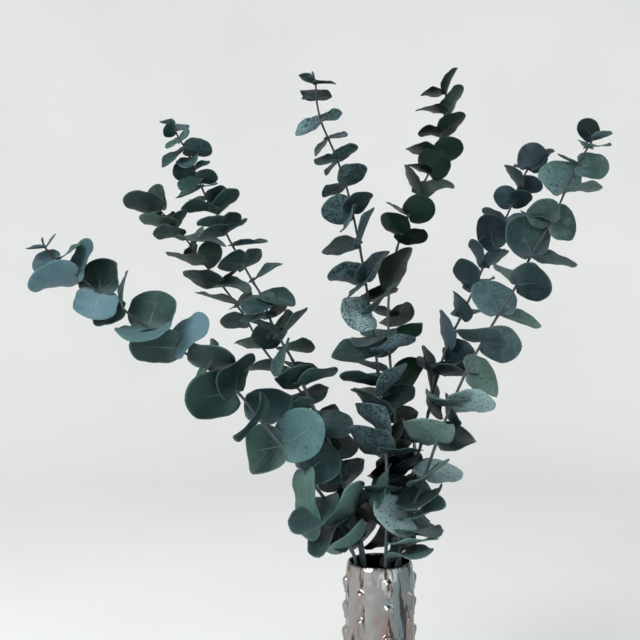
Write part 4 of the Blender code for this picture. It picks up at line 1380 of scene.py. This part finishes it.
def clear_vase():
    """The part's own vase, plain, which the leaves are placed clear of."""
    half_rise = STUD_RISE / 2
    quarter_rise = STUD_RISE / 4
    stud_rings = {round((STUD_TOP - half_rise * row) / MM, 2): row % 2 for row in range(2 * STUD_ROWS)}
    between = [round((STUD_TOP - quarter_rise * (2 * row + 1)) / MM, 2) for row in range(-1, 2 * STUD_ROWS)]
    heights = {0.0, float(RIB_FOOT), VASE_HEIGHT / MM} | set(stud_rings)
    heights = sorted(heights | {height for height in between if height > RIB_FOOT})
    sides_per_column = VASE_SIDES // STUD_COLUMNS
    vertices, faces = [], []
    for height in heights:
        radius = profile_radius(VASE_OUTSIDE, height) * MM
        on_body = RIB_FOOT < height < RIB_TOP
        for side in range(VASE_SIDES):
            column, step = divmod(side, sides_per_column)
            raised = RIB_HEIGHT if on_body and step == sides_per_column // 2 else 0.0
            if step == 0 and stud_rings.get(height) == column % 2:
                raised = STUD_HEIGHT
            turn = STUD_TURN + math.tau * side / VASE_SIDES
            vertices.append(turned(radius + raised, turn, height * MM))
    for height, radius in VASE_INSIDE:
        for side in range(VASE_SIDES):
            turn = STUD_TURN + math.tau * side / VASE_SIDES
            vertices.append(turned(radius * MM, turn, height * MM))
    rings = len(heights) + len(VASE_INSIDE)
    for ring in range(rings - 1):
        for side in range(VASE_SIDES):
            here, beside, above, above_beside = ring_corners(ring, side, VASE_SIDES)
            if (side + ring) % 2:
                faces += [(here, beside, above), (beside, above_beside, above)]
            else:
                faces += [(here, beside, above_beside), (here, above_beside, above)]
    faces.append(tuple(reversed(range(VASE_SIDES))))
    faces.append(tuple(range((rings - 1) * VASE_SIDES, rings * VASE_SIDES)))
    return vertices, faces


def wall_relief(turn, height):
    """How far the vase's outside stands out at a place, in millimetres: ribs, facets and hand wobble."""
    swell = held((height - RIB_FOOT) / RELIEF_FADE_IN) * held((RELIEF_TOP - height) / RELIEF_FADE_OUT)
    from_stud = (turn - STUD_TURN) % (math.tau / STUD_COLUMNS)
    from_rib = abs(from_stud - RIB_TURN)
    rib = max(0.0, math.cos(0.5 * math.pi * min(from_rib / RIB_HALF_WIDTH, 1.0))) ** 2
    facet = 0.5 - 0.5 * math.cos(2 * STUD_COLUMNS * (turn - STUD_TURN))
    spot = Vector((math.sin(turn), math.cos(turn), height / WOBBLE_RISE))
    wobble = HAND_WOBBLE * noise.noise(WOBBLES_AROUND * spot)
    return swell * (RIB_HEIGHT / MM * rib - FACET_DEPTH * facet + wobble)


def vase_wall():
    """The vase without its studs: soft facets between ribs, a rounded rim and an open inside."""
    top = OUTER_PROFILE[-1][0]
    heights = list(FOOT_HEIGHTS)
    while heights[-1] + VASE_ROW < top:
        heights.append(heights[-1] + VASE_ROW)
    inner = sorted(INNER_PROFILE)
    rows = [(height, profile_radius(OUTER_PROFILE, height), 1.0) for height in heights + [top]]
    rows += RIM_ROWS
    rows += [(height, profile_radius(inner, height), 0.0) for height in INSIDE_HEIGHTS]
    rows.append(FLOOR_ROW)
    vertices, outer = [], []
    for height, radius, outside in rows:
        for column in range(VASE_COLUMNS):
            turn = math.tau * column / VASE_COLUMNS
            reach = radius + wall_relief(turn, height) if outside else radius
            vertices.append(turned(reach * MM, turn, height * MM))
            outer.append(outside)
    faces = []
    for row in range(len(rows) - 1):
        for column in range(VASE_COLUMNS):
            here, beside, above, above_beside = ring_corners(row, column, VASE_COLUMNS)
            faces.append((here, beside, above_beside, above))
    bottom, floor = len(vertices), len(vertices) + 1
    vertices += [(0.0, 0.0, 0.0), (0.0, 0.0, VASE_FLOOR)]
    outer += [0.0, 0.0]
    last = (len(rows) - 1) * VASE_COLUMNS
    for column in range(VASE_COLUMNS):
        beside = (column + 1) % VASE_COLUMNS
        faces.append((bottom, beside, column))
        faces.append((floor, last + column, last + beside))
    mesh = new_mesh("vase wall", vertices, (), faces)
    note(mesh, "outer", outer)
    return mesh


def stud_points():
    """One point for each stud, on the wall, with its own size: alternate columns are staggered."""
    draw = random.Random(STUD_SEED)
    vertices, sizes = [], []
    for column in range(STUD_COLUMNS):
        for row in range(2 * STUD_ROWS):
            if row % 2 != column % 2:
                continue
            height = (STUD_TOP - 0.5 * STUD_RISE * row) / MM + draw.uniform(-STUD_SHIFT, STUD_SHIFT)
            sway = math.radians(draw.uniform(-STUD_SWAY, STUD_SWAY))
            turn = STUD_TURN + math.tau * column / STUD_COLUMNS + sway
            vertices.append(turned(profile_radius(OUTER_PROFILE, height) * MM, turn, height * MM))
            sizes.append(draw.uniform(*STUD_SIZES))
    mesh = new_mesh("stud points", vertices)
    note(mesh, "size", sizes)
    return mesh


def studio_cove(radius, corner, height):
    """A round studio cove: a floor that turns up into a wall."""
    profile = [(radius - corner, 0.0)]
    for step in range(1, COVE_STEPS + 1):
        turn = 0.5 * math.pi * step / COVE_STEPS
        profile.append((radius - corner + corner * math.sin(turn), corner - corner * math.cos(turn)))
    profile.append((radius, height))
    vertices = [(0.0, 0.0, 0.0)]
    for reach, rise in profile:
        for side in range(COVE_SIDES):
            turn = math.tau * side / COVE_SIDES
            vertices.append((reach * math.cos(turn), reach * math.sin(turn), rise))
    faces = [(0, 1 + side, 1 + (side + 1) % COVE_SIDES) for side in range(COVE_SIDES)]
    for ring in range(len(profile) - 1):
        for side in range(COVE_SIDES):
            here, beside, above, above_beside = ring_corners(ring, side, COVE_SIDES, 1)
            faces.append((here, above, above_beside, beside))
    return new_mesh("studio cove", vertices, (), faces)


def length_property(label, description, default):
    return FloatProperty(name=label, description=description, default=default, unit="LENGTH")


def colour_property(label, description, default):
    return FloatVectorProperty(name=label, description=description, default=default, subtype="COLOR")


class VaseSizes(bpy.types.PropertyGroup):
    """What a user would change on the vase."""

    stud_width: length_property("Stud width", "Width of a stud where it meets the wall", 0.0105)
    stud_length: length_property("Stud length", "Height of a stud along the wall", 0.0145)
    stud_height: length_property("Stud height", "How far a stud stands out", 0.0040)
    silver: colour_property("Silver", "Colour of the lustre", (0.34, 0.32, 0.31))
    copper: colour_property("Copper", "Colour of its warm patches", (0.30, 0.20, 0.17))


class BranchSizes(bpy.types.PropertyGroup):
    """What a user would change on the branches."""

    blade_thickness: length_property("Blade thickness", "Thickness of a leaf blade", 0.0006)
    midrib_depth: length_property("Midrib depth", "How far the midrib is sunk", 0.0003)
    heart: FloatProperty(
        name="Heart", description="How far the lobes at a leaf's base reach back",
        default=0.9, min=0.0, max=1.0,
    )
    stem_sides: IntProperty(
        name="Stem sides", description="Sides of a stem's round section", default=10, min=3, max=32
    )


class StageSizes(bpy.types.PropertyGroup):
    """What a user would change on the studio."""

    cove_radius: length_property("Cove radius", "Radius of the round studio wall", 2.6)
    cove_corner: length_property("Cove corner", "Radius of the turn from floor to wall", 0.9)
    cove_height: length_property("Cove height", "Height of the studio wall", 4.2)
    paper: colour_property("Paper", "Colour of the backdrop", (0.81, 0.82, 0.815))


class EUCALYPTUS_OT_vase(bpy.types.Operator):
    """Makes the studded silver vase"""

    bl_idname = "eucalyptus.vase"
    bl_label = "Make the Vase"

    def execute(self, context):
        sizes = context.scene.eucalyptus_vase
        studs = in_scene("stud points", stud_points())
        finish = silver_finish(shared_effects(), sizes.silver, sizes.copper)
        values = {
            "Stud Points": studs,
            "Stud Width": sizes.stud_width,
            "Stud Length": sizes.stud_length,
            "Stud Height": sizes.stud_height,
            "Finish": finish,
        }
        vase = grown("studded_vase", vase_wall(), studded_wall_tree(), values, [studs])
        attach(vase, "root")
        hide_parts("vase")
        return {"FINISHED"}


class EUCALYPTUS_OT_branches(bpy.types.Operator):
    """Makes the seven leafy branches"""

    bl_idname = "eucalyptus.branches"
    bl_label = "Make the Branches"

    def execute(self, context):
        sizes = context.scene.eucalyptus_branches
        effects = shared_effects()
        tree = leafy_branch_tree()
        spines = {branch.name: spine_of(branch) for branch in BRANCHES}
        leaves = grow_leaves(BRANCHES, spines, clear_vase())
        bark = stem_finish(effects)
        for branch in BRANCHES:
            blade = in_scene("unit blade", unit_blade(sizes.heart))
            line = in_scene("stem line", stem_line(spines[branch.name]))
            values = {
                "Blade": blade,
                "Stem Line": line,
                "Blade Thickness": sizes.blade_thickness,
                "Midrib Depth": sizes.midrib_depth,
                "Stem Sides": sizes.stem_sides,
                "Leaf Finish": leaf_finish(branch.name, FINISHES[branch.name], effects),
                "Stem Finish": bark,
            }
            points = leaf_points(branch, leaves[branch.name])
            made = grown(branch.name + "_leafy", points, tree, values, [blade, line])
            for field in SHAPE_FIELDS:
                made.data.attributes.remove(made.data.attributes[field])
            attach(made, "root")
            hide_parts(branch.name)
        return {"FINISHED"}


def add_light(light):
    """A square soft light that faces its aim."""
    lamp = bpy.data.lights.new(light.name, "AREA")
    lamp.size = light.size
    lamp.energy = light.power
    lamp.color = light.colour
    made = in_scene(light.name, lamp)
    made.location = light.place
    made.rotation_euler = (Vector(light.aim) - Vector(light.place)).to_track_quat("-Z", "Y").to_euler()


class EUCALYPTUS_OT_stage(bpy.types.Operator):
    """Makes the studio: backdrop, soft lights and the camera"""

    bl_idname = "eucalyptus.stage"
    bl_label = "Make the Studio"

    def execute(self, context):
        sizes = context.scene.eucalyptus_stage
        mesh = studio_cove(sizes.cove_radius, sizes.cove_corner, sizes.cove_height)
        mesh.materials.append(backdrop_finish(sizes.paper))
        mesh.shade_smooth()
        cove = in_scene("studio_cove", mesh)
        for light in LIGHTS:
            add_light(light)
        world = bpy.data.worlds.new("soft room light")
        world.use_nodes = True
        sky = world.node_tree.nodes["Background"]
        sky.inputs["Color"].default_value = SKY_COLOUR
        sky.inputs["Strength"].default_value = SKY_STRENGTH
        context.scene.world = world
        camera = bpy.data.cameras.new("front view")
        camera.lens = CAMERA_LENS
        camera.sensor_width = CAMERA_SENSOR
        made = in_scene("front view", camera)
        made.location = EYE
        made.rotation_euler = (math.radians(90), 0.0, 0.0)
        context.scene.camera = made
        context.scene.view_settings.view_transform = "Standard"
        return {"FINISHED"}


class EUCALYPTUS_PT_panel(bpy.types.Panel):
    """Lists the pieces and their sizes"""

    bl_idname = "EUCALYPTUS_PT_panel"
    bl_label = "Eucalyptus"
    bl_space_type = "VIEW_3D"
    bl_region_type = "UI"
    bl_category = "Eucalyptus"

    def draw(self, context):
        for settings, action in (
            (context.scene.eucalyptus_vase, "eucalyptus.vase"),
            (context.scene.eucalyptus_branches, "eucalyptus.branches"),
            (context.scene.eucalyptus_stage, "eucalyptus.stage"),
        ):
            box = self.layout.box()
            for name in settings.bl_rna.properties.keys():
                if name not in ("rna_type", "name"):
                    box.prop(settings, name)
            box.operator(action)


CLASSES = (
    VaseSizes,
    BranchSizes,
    StageSizes,
    EUCALYPTUS_OT_vase,
    EUCALYPTUS_OT_branches,
    EUCALYPTUS_OT_stage,
    EUCALYPTUS_PT_panel,
)


def register():
    for made in CLASSES:
        bpy.utils.register_class(made)
    bpy.types.Scene.eucalyptus_vase = PointerProperty(type=VaseSizes)
    bpy.types.Scene.eucalyptus_branches = PointerProperty(type=BranchSizes)
    bpy.types.Scene.eucalyptus_stage = PointerProperty(type=StageSizes)


def unregister():
    del bpy.types.Scene.eucalyptus_stage
    del bpy.types.Scene.eucalyptus_branches
    del bpy.types.Scene.eucalyptus_vase
    for made in reversed(CLASSES):
        bpy.utils.unregister_class(made)


def main():
    register()
    bpy.ops.eucalyptus.vase()
    bpy.ops.eucalyptus.branches()
    bpy.ops.eucalyptus.stage()


if __name__ == "__main__":
    main()
